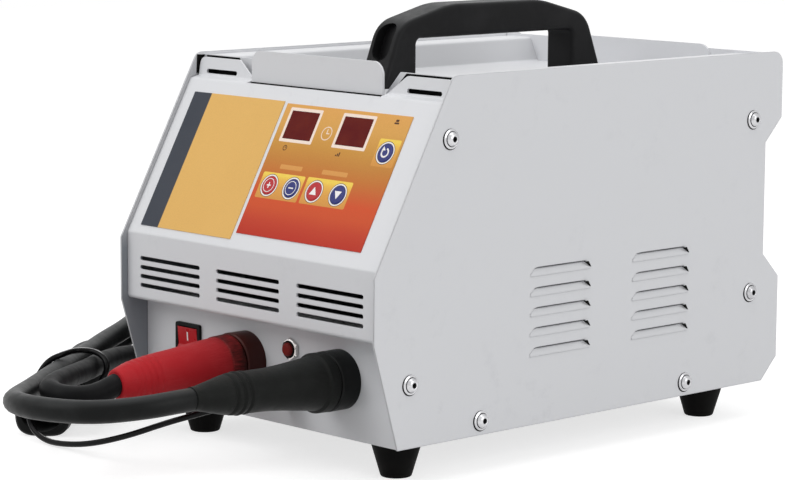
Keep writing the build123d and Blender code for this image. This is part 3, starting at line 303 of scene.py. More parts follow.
def hexagon_nut(start: Point, axis: Point, flats: float, bore: float, height: float) -> Grid:
    """Nut: a hexagon whose corners are turned down at both ends.

    Radius is the lesser of the hexagon's, flats / 2 / cos of the angle from the nearest flat, and a cone's at each end.

    Args:
        start: Middle of its seat.
        axis: Way that it stands.
        flats: Size over the flats.
        bore: Radius of its hole.
        height: How tall it is.

    Returns:
        The grid, closed through the bore.
    """
    steps = 96
    angle = np.linspace(0, 2 * math.pi, steps, endpoint=False)
    hexagon = flats / 2 / np.cos((angle + math.pi / 6) % (math.pi / 3) - math.pi / 6)
    rise = np.array([0.0, 0.0, 0.12, 0.3, 0.7, 0.88, 1.0, 1.0]) * height
    limit = np.array([0.0, 0.47, 0.52, 0.6, 0.6, 0.52, 0.45, 0.0]) * flats
    radius = np.minimum(hexagon[None, :], limit[:, None])
    radius[[0, -1]] = bore
    levels = np.column_stack([np.zeros_like(rise), rise])
    return Grid(revolved(levels, start, axis, steps, radius).points, wrap_rows=True)


SLOPE_DEG = 28.8
SLOPE_UP = (0.0, math.sin(math.radians(SLOPE_DEG)), math.cos(math.radians(SLOPE_DEG)))
SLOPE_OUT = (0.0, -math.cos(math.radians(SLOPE_DEG)), math.sin(math.radians(SLOPE_DEG)))
SLOPE = Placing((0.0, -190.75, 139.5), X_WAY, SLOPE_UP, SLOPE_OUT)


# ---------------------------------------------------------------- finishes


class Graph:
    """Node tree of a material or the world, with short calls for the nodes that it uses."""

    def __init__(self, name: str, world: bpy.types.World | None = None) -> None:
        """Start an empty tree.

        Args:
            name: Name of the material.
            world: The world, where the tree is its own.
        """
        self.material = world or bpy.data.materials.new(name)
        self.material.use_nodes = True
        self.tree = self.material.node_tree
        self.tree.nodes.clear()
        self.place = self.node("ShaderNodeTexCoord").outputs["Object"]

    def node(self, kind: str, inputs: dict | None = None, **settings: object) -> bpy.types.Node:
        """Add a node.

        Args:
            kind: Blender's name of the node.
            inputs: Values or sockets by the input's name or number.
            settings: Properties of the node.

        Returns:
            The node.
        """
        made = self.tree.nodes.new(kind)
        for key, value in settings.items():
            setattr(made, key, value)
        for key, value in (inputs or {}).items():
            self.feed(made.inputs[key], value)
        return made

    def feed(self, socket: Socket, value: object) -> None:
        """Link a socket to an input, or set the input's own value."""
        if isinstance(value, bpy.types.NodeSocket):
            self.tree.links.new(value, socket)
        else:
            socket.default_value = value

    def math(self, operation: str, *values: object) -> Socket:
        """Number worked out by a Math node."""
        return self.node("ShaderNodeMath", dict(enumerate(values)), operation=operation).outputs[0]

    def times(self, first: object, second: object) -> Socket:
        """One number times another."""
        return self.math("MULTIPLY", first, second)

    def less(self, first: object, second: object) -> Socket:
        """One number less another."""
        return self.math("SUBTRACT", first, second)

    def size(self, value: object) -> Socket:
        """A number without its sign."""
        return self.math("ABSOLUTE", value)

    def vector(self, operation: str, *values: object) -> Socket:
        """Vector worked out by a Vector Math node."""
        return self.node("ShaderNodeVectorMath", dict(enumerate(values)), operation=operation).outputs[0]

    def dot(self, first: object, second: object) -> Socket:
        """How far one vector goes along another."""
        return self.node("ShaderNodeVectorMath", {0: first, 1: second}, operation="DOT_PRODUCT").outputs["Value"]

    def facing(self, direction: Point) -> Socket:
        """How much the surface looks along a direction."""
        return self.dot(self.node("ShaderNodeNewGeometry").outputs["Normal"], direction)

    def mix(self, share: object, first: object, second: object) -> Socket:
        """Colour between two colours."""
        return self.node("ShaderNodeMix", {0: share, 6: first, 7: second}, data_type="RGBA").outputs[2]

    def noise(self, scale: float, detail: float = 3.0, roughness: float = 0.55,
              stretch: Point | None = None) -> Socket:
        """Cloudy number from 0 to 1.

        Args:
            scale: Blotches per metre.
            detail: How many finer layers it has.
            roughness: How strong the finer layers are.
            stretch: Scale along each axis, for streaks.

        Returns:
            The noise's factor.
        """
        vector = self.place
        if stretch:
            vector = self.node("ShaderNodeMapping", {"Vector": vector, "Scale": stretch}).outputs[0]
        inputs = {"Vector": vector, "Scale": scale, "Detail": detail, "Roughness": roughness}
        return self.node("ShaderNodeTexNoise", inputs).outputs[0]

    def ramp(self, value: Socket, stops: list[tuple[float, Colour]]) -> Socket:
        """Colour picked along a ramp.

        Args:
            value: Place on the ramp.
            stops: (place, colour) pairs in order.

        Returns:
            The colour.
        """
        made = self.node("ShaderNodeValToRGB", {0: value})
        band_of = made.color_ramp
        while len(band_of.elements) < len(stops):
            band_of.elements.new(0.5)
        for element, (spot, colour) in zip(band_of.elements, stops):
            element.position = spot
            element.color = colour
        return made.outputs[0]

    def span(self, value: Socket, low: float, high: float, new_low: float = 0.0, new_high: float = 1.0) -> Socket:
        """Number moved from one range to another, kept inside it."""
        inputs = {"Value": value, "From Min": low, "From Max": high, "To Min": new_low, "To Max": new_high}
        return self.node("ShaderNodeMapRange", inputs).outputs[0]

    def along(self, direction: Point) -> Socket:
        """Distance along a direction, in metres."""
        return self.dot(self.place, direction)

    def slope_place(self) -> tuple[Socket, Socket]:
        """Millimetres across and up the control slope."""
        shift = float(np.dot(SLOPE.origin, SLOPE_UP))
        return (
            self.times(self.along(X_WAY), 1 / MM),
            self.math("MULTIPLY_ADD", self.along(SLOPE_UP), 1 / MM, -shift),
        )

    def inside(self, distance: Socket, soft: float = 0.12) -> Socket:
        """1 where a signed distance is under 0, with a soft edge in millimetres."""
        return self.span(distance, soft, -soft)

    def box(self, x: Socket, y: Socket, left: float, right: float, low: float, high: float,
            corner: float = 0.6) -> Socket:
        """Inside of a rectangle with rounded corners.

        Distance is the length of the part of |place - middle| - half size + corner that is above 0, plus the larger
        part where both are below 0, less the corner.

        Args:
            x, y: Place, millimetres.
            left, right, low, high: The rectangle's edges.
            corner: Radius of its corners.

        Returns:
            1 inside and 0 outside.
        """
        parts = []
        for place, first, last in ((x, left, right), (y, low, high)):
            middle = self.size(self.less(place, (first + last) / 2))
            parts.append(self.less(middle, (last - first) / 2 - corner))
        squares = [self.math("POWER", self.math("MAXIMUM", part, 0.0), 2.0) for part in parts]
        outside = self.math("SQRT", self.math("ADD", *squares))
        within = self.math("MINIMUM", self.math("MAXIMUM", *parts), 0.0)
        return self.inside(self.less(self.math("ADD", outside, within), corner))

    def radius(self, x: Socket, y: Socket, middle: tuple[float, float]) -> Socket:
        """Distance from a point on the plane."""
        squares = [self.math("POWER", self.less(p, m), 2.0) for p, m in zip((x, y), middle)]
        return self.math("SQRT", self.math("ADD", *squares))

    def annulus(self, away: Socket, inner: float, outer: float) -> Socket:
        """1 between two radii of a distance from a point."""
        middle, half = (inner + outer) / 2, (outer - inner) / 2
        return self.inside(self.less(self.size(self.less(away, middle)), half))

    def printed(self, colour: Socket, fleck: Colour, share: float) -> bpy.types.Material:
        """Finish the tree as a printed film with fine flecks under a satin top.

        Args:
            colour: The print.
            fleck: Colour of the flecks.
            share: Their greatest strength.

        Returns:
            The material.
        """
        flecks = self.span(self.noise(1500.0, 2.0), 0.3, 0.75, 0.0, share)
        rough = self.span(self.noise(120.0), 0.3, 0.7, 0.3, 0.42)
        relief = [(self.noise(2400.0, 1.0), 0.25, 0.00003)]
        return self.surface(self.mix(flecks, colour, fleck), rough, relief, Specular_IOR_Level=0.1)

    def calmed(self, normal: Socket, share: float) -> Socket:
        """Lean a normal towards X, or against it on the other side.

        It becomes normal + share * (side - normal) where the two agree, at its old length.

        Args:
            normal: The normal.
            share: How far it leans.

        Returns:
            The leaned normal.
        """
        side = self.node("ShaderNodeCombineXYZ", {0: self.math("SIGN", self.along(X_WAY))}).outputs[0]
        part = self.times(self.span(self.dot(normal, side), 0.3, 0.6), share)
        apart = self.vector("SUBTRACT", side, normal)
        step = self.node("ShaderNodeVectorMath", {0: apart, "Scale": part}, operation="SCALE").outputs[0]
        return self.vector("NORMALIZE", self.vector("ADD", normal, step))

    def surface(self, colour: object, roughness: object, relief: list[tuple[Socket, float, float]] | None = None,
                edge: float = 0.0, calm: float = 0.0, **sockets: object) -> bpy.types.Material:
        """Finish the tree with a Principled shader.

        Args:
            colour: Colour or socket.
            roughness: Number or socket.
            relief: (height, strength, depth in metres) of each bump, coarse first.
            edge: Radius in metres by which edges look rounded.
            calm: How far a face that looks sideways is shaded as if it looked straight along X.
            sockets: Other inputs, with _ for a space.

        Returns:
            The material.
        """
        shader = self.node("ShaderNodeBsdfPrincipled", {"Base Color": colour, "Roughness": roughness})
        for key, value in sockets.items():
            self.feed(shader.inputs[key.replace("_", " ")], value)
        normal = self.node("ShaderNodeBevel", {"Radius": edge}, samples=4).outputs[0] if edge else None
        if calm and normal:
            normal = self.calmed(normal, calm)
        for height, strength, depth in relief or []:
            bump = self.node("ShaderNodeBump", {"Height": height, "Strength": strength, "Distance": depth})
            if normal:
                self.feed(bump.inputs["Normal"], normal)
            normal = bump.outputs[0]
        if normal:
            self.feed(shader.inputs["Normal"], normal)
        self.node("ShaderNodeOutputMaterial", {"Surface": shader.outputs[0]})
        return self.material


@dataclass(frozen=True)
class PowderCoat:
    """Baked paint on sheet steel: fine orange peel, clouding, soft scuffs and rounded folds, with painted shade on the
    inner sides, darker towards the bottom, and on the louvre flaps.
    """

    name: str
    colour: Colour
    scuffed: Colour
    inner_shade: Colour
    inner_shade_low: Colour = srgb(132, 137, 143)
    inner_shade_rise: tuple[float, float] = (0.128, 0.15)
    inner_shade_top: tuple[float, float] = (0.2566, 0.2562)
    peel: float = 1500.0
    panel_inside: float = 0.0885
    edge: float = 0.0007
    flap_shade: float = 0.0
    flap_shade_span: tuple[float, float] = (0.12712, 0.1288)
    calm: float = 0.75

    def build(self) -> bpy.types.Material:
        """Make the material."""
        g = Graph(self.name)
        cloud = g.noise(9.0, 4.0)
        scuff = g.span(g.noise(60.0, 6.0, 0.7), 0.56, 0.78, 0.0, 0.55)
        colour = g.mix(g.times(scuff, g.span(cloud, 0.35, 0.7)), self.colour, self.scuffed)
        # Painted shade: inner sides of the outer panels, below the tray's top, take a darker grey that darkens further
        # towards the bottom
        rise = g.along(Z_WAY)
        inner_shade = g.mix(g.span(rise, *self.inner_shade_rise), self.inner_shade_low, self.inner_shade)
        colour = g.mix(g.times(self.inner_side(g), g.span(rise, *self.inner_shade_top)), colour, inner_shade)
        # Painted shade on the louvre flaps, deeper where they stand further out from the panel
        if self.flap_shade:
            flap_shade_span = g.span(g.size(g.along(X_WAY)), *self.flap_shade_span)
            colour = g.mix(g.times(g.math("POWER", flap_shade_span, 1.6), self.flap_shade), colour, self.inner_shade_low)
        rough = g.math("ADD", g.span(cloud, 0.3, 0.7, 0.33, 0.41), g.times(scuff, 0.1))
        relief = [(cloud, 0.12, 0.0006), (g.noise(self.peel, 2.0), 0.35, 0.00005)]
        return g.surface(colour, rough, relief, self.edge, self.calm if self.flap_shade else 0.0)

    def inner_side(self, g: Graph) -> Socket:
        """1 on the sides of the outer panels that face the middle: there, place and normal point opposite ways."""
        across_x = g.along(X_WAY)
        against = g.span(g.times(across_x, g.facing(X_WAY)), -0.05, -0.08)
        outer = g.span(g.size(across_x), self.panel_inside, self.panel_inside + 0.0005)
        return g.times(against, outer)


@dataclass(frozen=True)
class Moulding:
    """Moulded plastic or rubber: spark grain, rubbed patches and, where it has them, drawn streaks and a painted
    highlight on faces that look up.
    """

    name: str
    colour: Colour
    rubbed: Colour
    roughness: float = 0.45
    grain: float = 2200.0
    grain_depth: float = 0.00006
    streak: Point | None = None
    edge: float = 0.0005
    sheen: float = 0.22
    stops: tuple[tuple[float, Colour], ...] = ()
    stops_y: tuple[float, float] = (0.0, 1.0)
    # Painted highlight on faces that look up: its strength, the facing where it starts, the size of its patches and its
    # colour
    dust: float = 0.0
    highlight_from: float = 0.5
    highlight_scale: float = 24.0
    highlight_colour: Colour = srgb(98, 100, 101)

    def build(self) -> bpy.types.Material:
        """Make the material."""
        g = Graph(self.name)
        wear = g.span(g.noise(38.0, 6.0, 0.62), 0.42, 0.74)
        if self.streak:
            wear = g.times(wear, g.span(g.noise(55.0, 4.0, 0.6, self.streak), 0.3, 0.7))
        base = self.colour
        if self.stops:
            base = g.ramp(g.span(g.along(Y_WAY), *self.stops_y), list(self.stops))
        colour = g.mix(wear, base, self.rubbed)
        # Painted highlight: a lighter colour on faces that look up, broken into patches
        if self.dust:
            level = g.math("POWER", g.span(g.facing(Z_WAY), self.highlight_from, 1.0), 1.5)
            patches = g.span(g.noise(self.highlight_scale, 3.0), 0.3, 0.62, 0.35 * self.dust, self.dust)
            colour = g.mix(g.times(level, patches), colour, self.highlight_colour)
        rough = g.span(g.noise(140.0, 3.0), 0.3, 0.7, self.roughness - 0.05, self.roughness + 0.07)
        relief = [(g.noise(self.grain, 2.0), 0.4, self.grain_depth)]
        if self.streak:
            relief.insert(0, (g.noise(90.0, 3.0, 0.5, self.streak), 0.35, 0.0004))
        return g.surface(colour, rough, relief, self.edge, Specular_IOR_Level=self.sheen)


@dataclass(frozen=True)
class Metal:
    """Bare or plated metal: drawn hairlines, dull patches and rounded edges."""

    name: str
    colour: Colour
    dull: Colour
    roughness: float = 0.28
    brush: Point = (1.0, 1.0, 14.0)
    edge: float = 0.0003

    def build(self) -> bpy.types.Material:
        """Make the material."""
        g = Graph(self.name)
        patch = g.span(g.noise(70.0, 5.0, 0.6), 0.4, 0.75)
        line = g.noise(500.0, 3.0, 0.6, self.brush)
        rough = g.span(line, 0.25, 0.75, self.roughness - 0.08, self.roughness + 0.12)
        return g.surface(g.mix(patch, self.colour, self.dull), rough, [(line, 0.2, 0.00004)], self.edge, Metallic=1.0)


@dataclass(frozen=True)
class Winding:
    """Enamelled wire or strip, side by side: rounded ridges along one direction."""

    name: str
    colour: Colour
    shade: Colour
    pitch: float
    direction: Point
    roughness: float = 0.3
    metallic: float = 0.6

    def build(self) -> bpy.types.Material:
        """Make the material."""
        g = Graph(self.name)
        turn = g.math("SINE", g.times(g.along(self.direction), 2 * math.pi / (self.pitch * MM)))
        height = g.span(turn, -1.0, 1.0)
        colour = g.mix(g.times(g.span(height, 0.35, 0.0), g.span(g.noise(50.0), 0.2, 0.8, 0.6, 1.0)),
                       self.colour, self.shade)
        rough = g.span(g.noise(180.0), 0.3, 0.7, self.roughness - 0.05, self.roughness + 0.15)
        return g.surface(colour, rough, [(height, 0.8, self.pitch * MM * 0.25)], Metallic=self.metallic)


@dataclass(frozen=True)
class CircuitBoard:
    """Green solder mask over copper tracks, with the weave of the glass under it."""

    name: str
    mask: Colour
    track: Colour
    weave: float = 9.0

    def build(self) -> bpy.types.Material:
        """Make the material."""
        g = Graph(self.name)
        x, s = g.slope_place()
        flat = g.node("ShaderNodeCombineXYZ", {0: x, 1: s}).outputs[0]
        brick = g.node("ShaderNodeTexBrick", {"Vector": flat, "Scale": 0.35, "Mortar Size": 0.06}).outputs["Fac"]
        threads = [g.math("SINE", g.times(place, self.weave)) for place in (x, s)]
        colour = g.mix(g.times(brick, 0.8), self.mask, self.track)
        relief = [(brick, 0.3, 0.00004), (g.times(*threads), 0.1, 0.00002)]
        return g.surface(colour, g.span(g.noise(200.0), 0.3, 0.7, 0.25, 0.4), relief)


@dataclass(frozen=True)
class Window:
    """Smoked display pane over dark digits, with faint haze and hairline marks."""

    name: str
    colour: Colour
    haze: Colour

    def build(self) -> bpy.types.Material:
        """Make the material."""
        g = Graph(self.name)
        cloud = g.span(g.noise(90.0, 4.0), 0.35, 0.75)
        mark = g.noise(300.0, 3.0, 0.6, (1.0, 9.0, 9.0))
        rough = g.span(mark, 0.3, 0.7, 0.1, 0.2)
        return g.surface(g.mix(cloud, self.colour, self.haze), rough, [(mark, 0.05, 0.00002)], Specular_IOR_Level=0.1)


@dataclass(frozen=True)
class KeyFilm:
    """Printed and embossed key film: ink grain under a satin top."""

    name: str
    colour: Colour
    ink: Colour

    def build(self) -> bpy.types.Material:
        """Make the material."""
        g = Graph(self.name)
        grain = g.span(g.noise(900.0, 3.0), 0.3, 0.75, 0.0, 0.5)
        rough = g.span(g.noise(160.0), 0.3, 0.7, 0.26, 0.38)
        return g.surface(g.mix(grain, self.colour, self.ink), rough, [(g.noise(2600.0, 1.0), 0.2, 0.00003)], 0.0002,
                         Specular_IOR_Level=0.2)


@dataclass(frozen=True)
class OverlayPrint:
    """Keypad film: ochre that runs to red, pale frames round the windows, yellow fields and ringed keys."""

    name: str = "overlay_print"
    top_s: float = 105.0
    keys: tuple[tuple[float, float], ...] = ((-3.4, 46.4), (18.3, 46.4), (40.5, 46.4), (63.2, 46.4), (90.9, 78.5))
    windows: tuple[float, float] = (4.3, 55.7)
    fields: tuple[tuple[float, float, float, float], ...] = (
        (-13.2, 27.8, 37.2, 55.6), (30.3, 73.4, 37.2, 55.9), (81.8, 101.6, 68.8, 88.0))
    sign_share: float = 0.8

    def build(self) -> bpy.types.Material:
        """Make the material."""
        g = Graph(self.name)
        x, s = g.slope_place()
        drift = g.math("MULTIPLY_ADD", g.noise(14.0, 3.0), 7.0, -3.5)
        shade = [(11.0, ink(188, 63, 52)), (21.0, ink(197, 75, 57)), (31.0, ink(209, 91, 60)),
                 (40.0, ink(213, 92, 60)), (48.0, ink(206, 107, 64)), (57.0, ink(201, 124, 67)),
                 (66.0, ink(200, 137, 72)), (77.0, ink(206, 152, 78)), (92.0, ink(220, 167, 93)),
                 (104.0, ink(226, 169, 97))]
        colour = g.ramp(g.span(g.math("ADD", s, drift), 0.0, self.top_s), [(p / self.top_s, c) for p, c in shade])
        pale, dark, white = srgb(246, 228, 214), srgb(70, 44, 34), srgb(247, 243, 240)
        for left, right in ((0.0, 21.4), (41.0, 65.0)):
            plate = g.times(g.box(x, s, left, right, 58.8, 62.0), 0.55)
            colour = g.mix(plate, colour, srgb(233, 176, 100))
        for left, right, low, high in self.fields:
            rise = g.span(g.math("ADD", s, g.times(drift, 0.3)), low, high)
            glow = g.ramp(rise, [(0.0, ink(217, 154, 84)), (0.45, ink(226, 168, 88)), (0.74, ink(238, 189, 92)),
                                 (0.9, ink(246, 213, 98))])
            colour = g.mix(g.box(x, s, left, right, low, high, 1.2), colour, glow)
        for middle in self.windows:
            colour = g.mix(g.box(x, s, middle - 15.8, middle + 15.8, 77.8, 102.4, 0.8), colour, pale)
        for centre in self.keys:
            away = g.radius(x, s, centre)
            colour = g.mix(g.annulus(away, 5.0, 8.1), colour, dark)
            colour = g.mix(g.annulus(away, 5.0, 7.7), colour, white)
        return g.printed(self.icons(g, x, s, colour, pale, dark), srgb(120, 70, 40), 0.12)

    def icons(self, g: Graph, x: Socket, s: Socket, colour: Socket, pale: Colour, dark: Colour) -> Socket:
        """Plain signs beside the windows: a dial, a clock, rising bars and a stack.

        Args:
            g: The material's graph.
            x, s: Place on the slope.
            colour: Colour so far.
            pale, dark: Inks.

        Returns:
            The colour with the signs on it.
        """
        away = g.radius(x, s, (31.0, 86.8))
        clock = [g.annulus(away, 4.2, 4.9), g.box(x, s, 30.6, 31.4, 86.4, 90.0, 0.3),
                 g.box(x, s, 30.6, 33.6, 86.4, 87.2, 0.3)]
        for sign in clock:
            colour = g.mix(g.times(sign, self.sign_share), colour, pale)
        away = g.radius(x, s, (-2.8, 73.6))
        signs = [g.annulus(away, 1.4, 1.95), g.box(x, s, -3.0, -2.6, 73.5, 74.8, 0.1),
                 g.box(x, s, -3.0, -1.9, 73.4, 73.8, 0.1)]
        signs += [g.box(x, s, 46.6 + 1.5 * i, 47.6 + 1.5 * i, 72.2, 73.3 + 0.9 * i, 0.1) for i in range(3)]
        signs += [g.box(x, s, 88.7, 92.9, 98.6, 99.8, 0.2), g.box(x, s, 89.4, 92.2, 100.2, 101.8, 0.3)]
        for sign in signs:
            colour = g.mix(sign, colour, dark)
        return colour


@dataclass(frozen=True)
class LabelPrint:
    """Plain label: a slate stripe beside an ochre field, with print grain."""

    name: str = "label_print"
    stripe_right: float = -95.8
    field: Colour = ink(230, 184, 110)
    slate: Colour = ink(68, 73, 82)

    def build(self) -> bpy.types.Material:
        """Make the material."""
        g = Graph(self.name)
        x, _ = g.slope_place()
        stripe = g.inside(g.less(x, self.stripe_right), 0.3)
        cloud = g.span(g.noise(30.0, 4.0), 0.35, 0.7, 0.0, 0.25)
        field_colour = g.mix(cloud, self.field, ink(222, 175, 102))
        slate_colour = g.mix(cloud, self.slate, ink(82, 87, 96))
        return g.printed(g.mix(stripe, field_colour, slate_colour), srgb(110, 90, 60), 0.1)


FINISHES = [
    # The third colour of each powder coat is the painted shade on its inner sides
    PowderCoat("case_grey", srgb(216, 217, 220), srgb(196, 197, 201), srgb(180, 181, 184)),
    PowderCoat("tray_grey", srgb(216, 217, 220), srgb(196, 197, 201), srgb(192, 193, 196)),
    # side_grey also paints shade on its louvre flaps
    PowderCoat("side_grey", srgb(216, 217, 220), srgb(196, 197, 201), srgb(180, 181, 184), edge=0.0022, flap_shade=0.5),
    # A highlight share paints a lighter colour on faces that look up, as a painted highlight
    Moulding("handle_black", srgb(23, 23, 24), srgb(32, 32, 33), 0.42, 2600.0, 0.00008, sheen=0.1, dust=0.3),
    Moulding("foot_rubber", srgb(11, 11, 11), srgb(20, 19, 18), 0.62, 1400.0, 0.00010, sheen=0.05),
    Metal("stainless", srgb(208, 208, 210), srgb(168, 168, 171), 0.22),
    OverlayPrint(),
    LabelPrint(),
    Window("window_dark", ink(98, 38, 34), ink(108, 46, 40)),
    KeyFilm("key_red", srgb(178, 34, 40), srgb(192, 62, 64)),
    KeyFilm("key_blue", srgb(36, 43, 110), srgb(62, 68, 132)),
    KeyFilm("key_white", srgb(244, 241, 240), srgb(226, 220, 218)),
    CircuitBoard("board_green", srgb(30, 88, 52), srgb(58, 128, 74)),
    Moulding("black_plastic", srgb(17, 18, 18), srgb(29, 30, 30), 0.4, 2400.0, 0.00006, sheen=0.1, dust=0.15),
    # Grey of the painted shade lines in the louvres' mouths
    Moulding("louvre_shade_grey", srgb(84, 85, 88), srgb(112, 113, 116), 0.7, 1200.0, 0.00010, sheen=0.1),
    Moulding("socket_maroon", srgb(54, 18, 15), srgb(72, 27, 21), 0.36, 2400.0, 0.00006, sheen=0.14),
    Moulding("signal_red", srgb(182, 26, 34), srgb(196, 46, 50), 0.3, 2600.0, 0.00002, sheen=0.3),
    Moulding("button_red", srgb(106, 26, 24), srgb(124, 37, 33), 0.5, 2600.0, 0.00003, sheen=0.15),
    # The red darkens towards the socket, to a near-black band at its base: painted shade from the case's overhang and
    # the gap at the socket
    Moulding("plug_red", srgb(164, 27, 34), srgb(172, 47, 51), 0.5, 1300.0, 0.00008, (30.0, 1.6, 30.0), sheen=0.12,
             stops=((0.0, srgb(172, 28, 36)), (0.45, srgb(164, 27, 34)), (0.8, srgb(148, 25, 31)),
                    (0.862, srgb(130, 23, 27)), (0.875, srgb(50, 13, 10)), (1.0, srgb(40, 11, 8))),
             stops_y=(-0.286, -0.188)),
    Moulding("plug_black", srgb(22, 23, 22), srgb(34, 35, 34), 0.5, 1300.0, 0.00008, (30.0, 1.6, 30.0), sheen=0.08,
             dust=0.08),
    Moulding("cable_black", srgb(20, 21, 21), srgb(33, 34, 34), 0.42, 900.0, 0.00008, sheen=0.1, dust=0.34),
    Moulding("cable_matt", srgb(13, 13, 14), srgb(24, 24, 25), 0.5, 900.0, 0.00008, sheen=0.06, dust=0.1),
    # The lead's white glints on its upper faces are a painted highlight
    Moulding("lead_painted_glints", srgb(7, 7, 8), srgb(13, 13, 14), 0.2, 700.0, 0.00003, sheen=0.1, dust=0.9, highlight_from=0.9,
             highlight_scale=150.0, highlight_colour=srgb(236, 236, 236)),
    Metal("brass", srgb(205, 168, 98), srgb(160, 126, 70), 0.3),
    Metal("chuck_steel", srgb(118, 114, 108), srgb(74, 72, 70), 0.26),
    # The nut's faint warm tint, strongest in its dull patches, is a painted reflection of the red button
    Metal("nut_chrome", srgb(226, 224, 222), srgb(196, 190, 186), 0.14),
    Winding("copper", srgb(186, 104, 66), srgb(96, 44, 24), 1.6, Z_WAY),
    Winding("core_iron", srgb(84, 84, 90), srgb(44, 44, 48), 0.7, Y_WAY, 0.45, 0.7),
    Metal("zinc_steel", srgb(188, 190, 192), srgb(150, 152, 156), 0.36, (6.0, 1.0, 1.0)),
    Moulding("gun_black", srgb(17, 18, 18), srgb(30, 31, 31), 0.46, 1800.0, 0.00009, sheen=0.1, dust=0.3),
    Moulding("strap_black", srgb(24, 24, 26), srgb(44, 44, 46), 0.8, 1500.0, 0.00030, sheen=0.05),
]


class Wardrobe:
    """Every finish, made once and handed out by name."""

    def __init__(self, finishes: list) -> None:
        """Build the materials.

        Args:
            finishes: The finishes to make.
        """
        self.materials = {finish.name: finish.build() for finish in finishes}

    def dress_node(self, node: str, finish: str) -> None:
        """Give a CAD node a finish."""
        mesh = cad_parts[node].data
        mesh.materials.clear()
        mesh.materials.append(self.materials[finish])
        LOG.info("node %s: %s", node, finish)

    def dress_piece(self, piece: bpy.types.Object, finish: str, body: Body = Body.CHASSIS,
                    replaced: tuple[str, ...] = ()) -> bpy.types.Object:
        """Give a new piece its finish, body and the CAD nodes that it stands for.

        Args:
            piece: The new object.
            finish: Name of its finish.
            body: What it rides on.
            replaced: CAD nodes that it stands for.

        Returns:
            The piece.
        """
        piece.data.materials.clear()
        piece.data.materials.append(self.materials[finish])
        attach(piece, body.value)
        if replaced:
            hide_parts(*replaced)
        LOG.info("piece %s: %s on %s", piece.name, finish, body.value)
        return piece

    def make(self, name: str, grids: list[Grid], finish: str, slot: str, body: Body = Body.CHASSIS,
             replaced: tuple[str, ...] = (), sharp_deg: float = 35.0) -> bpy.types.Object:
        """Make a piece from grids and dress it.

        Args:
            name: Name of the piece.
            grids: Sheets that bound closed forms.
            finish, body, replaced: As in dress_piece. slot: Not used.
            sharp_deg: Edges that turn by more than this stay crisp.

        Returns:
            The piece.
        """
        return self.dress_piece(mesh_piece(name, grids, sharp_deg), finish, body, replaced)


@dataclass
class Assembly:
    """Part of the machine: the finishes, and CAD nodes that only take one, by the nodes' names."""

    wardrobe: Wardrobe
    dress: dict[str, str] = field(default_factory=dict)

    def build(self) -> None:
        """Dress the nodes."""
        for node, finish in self.dress.items():
            self.wardrobe.dress_node(node, finish)


# ---------------------------------------------------------------- studio


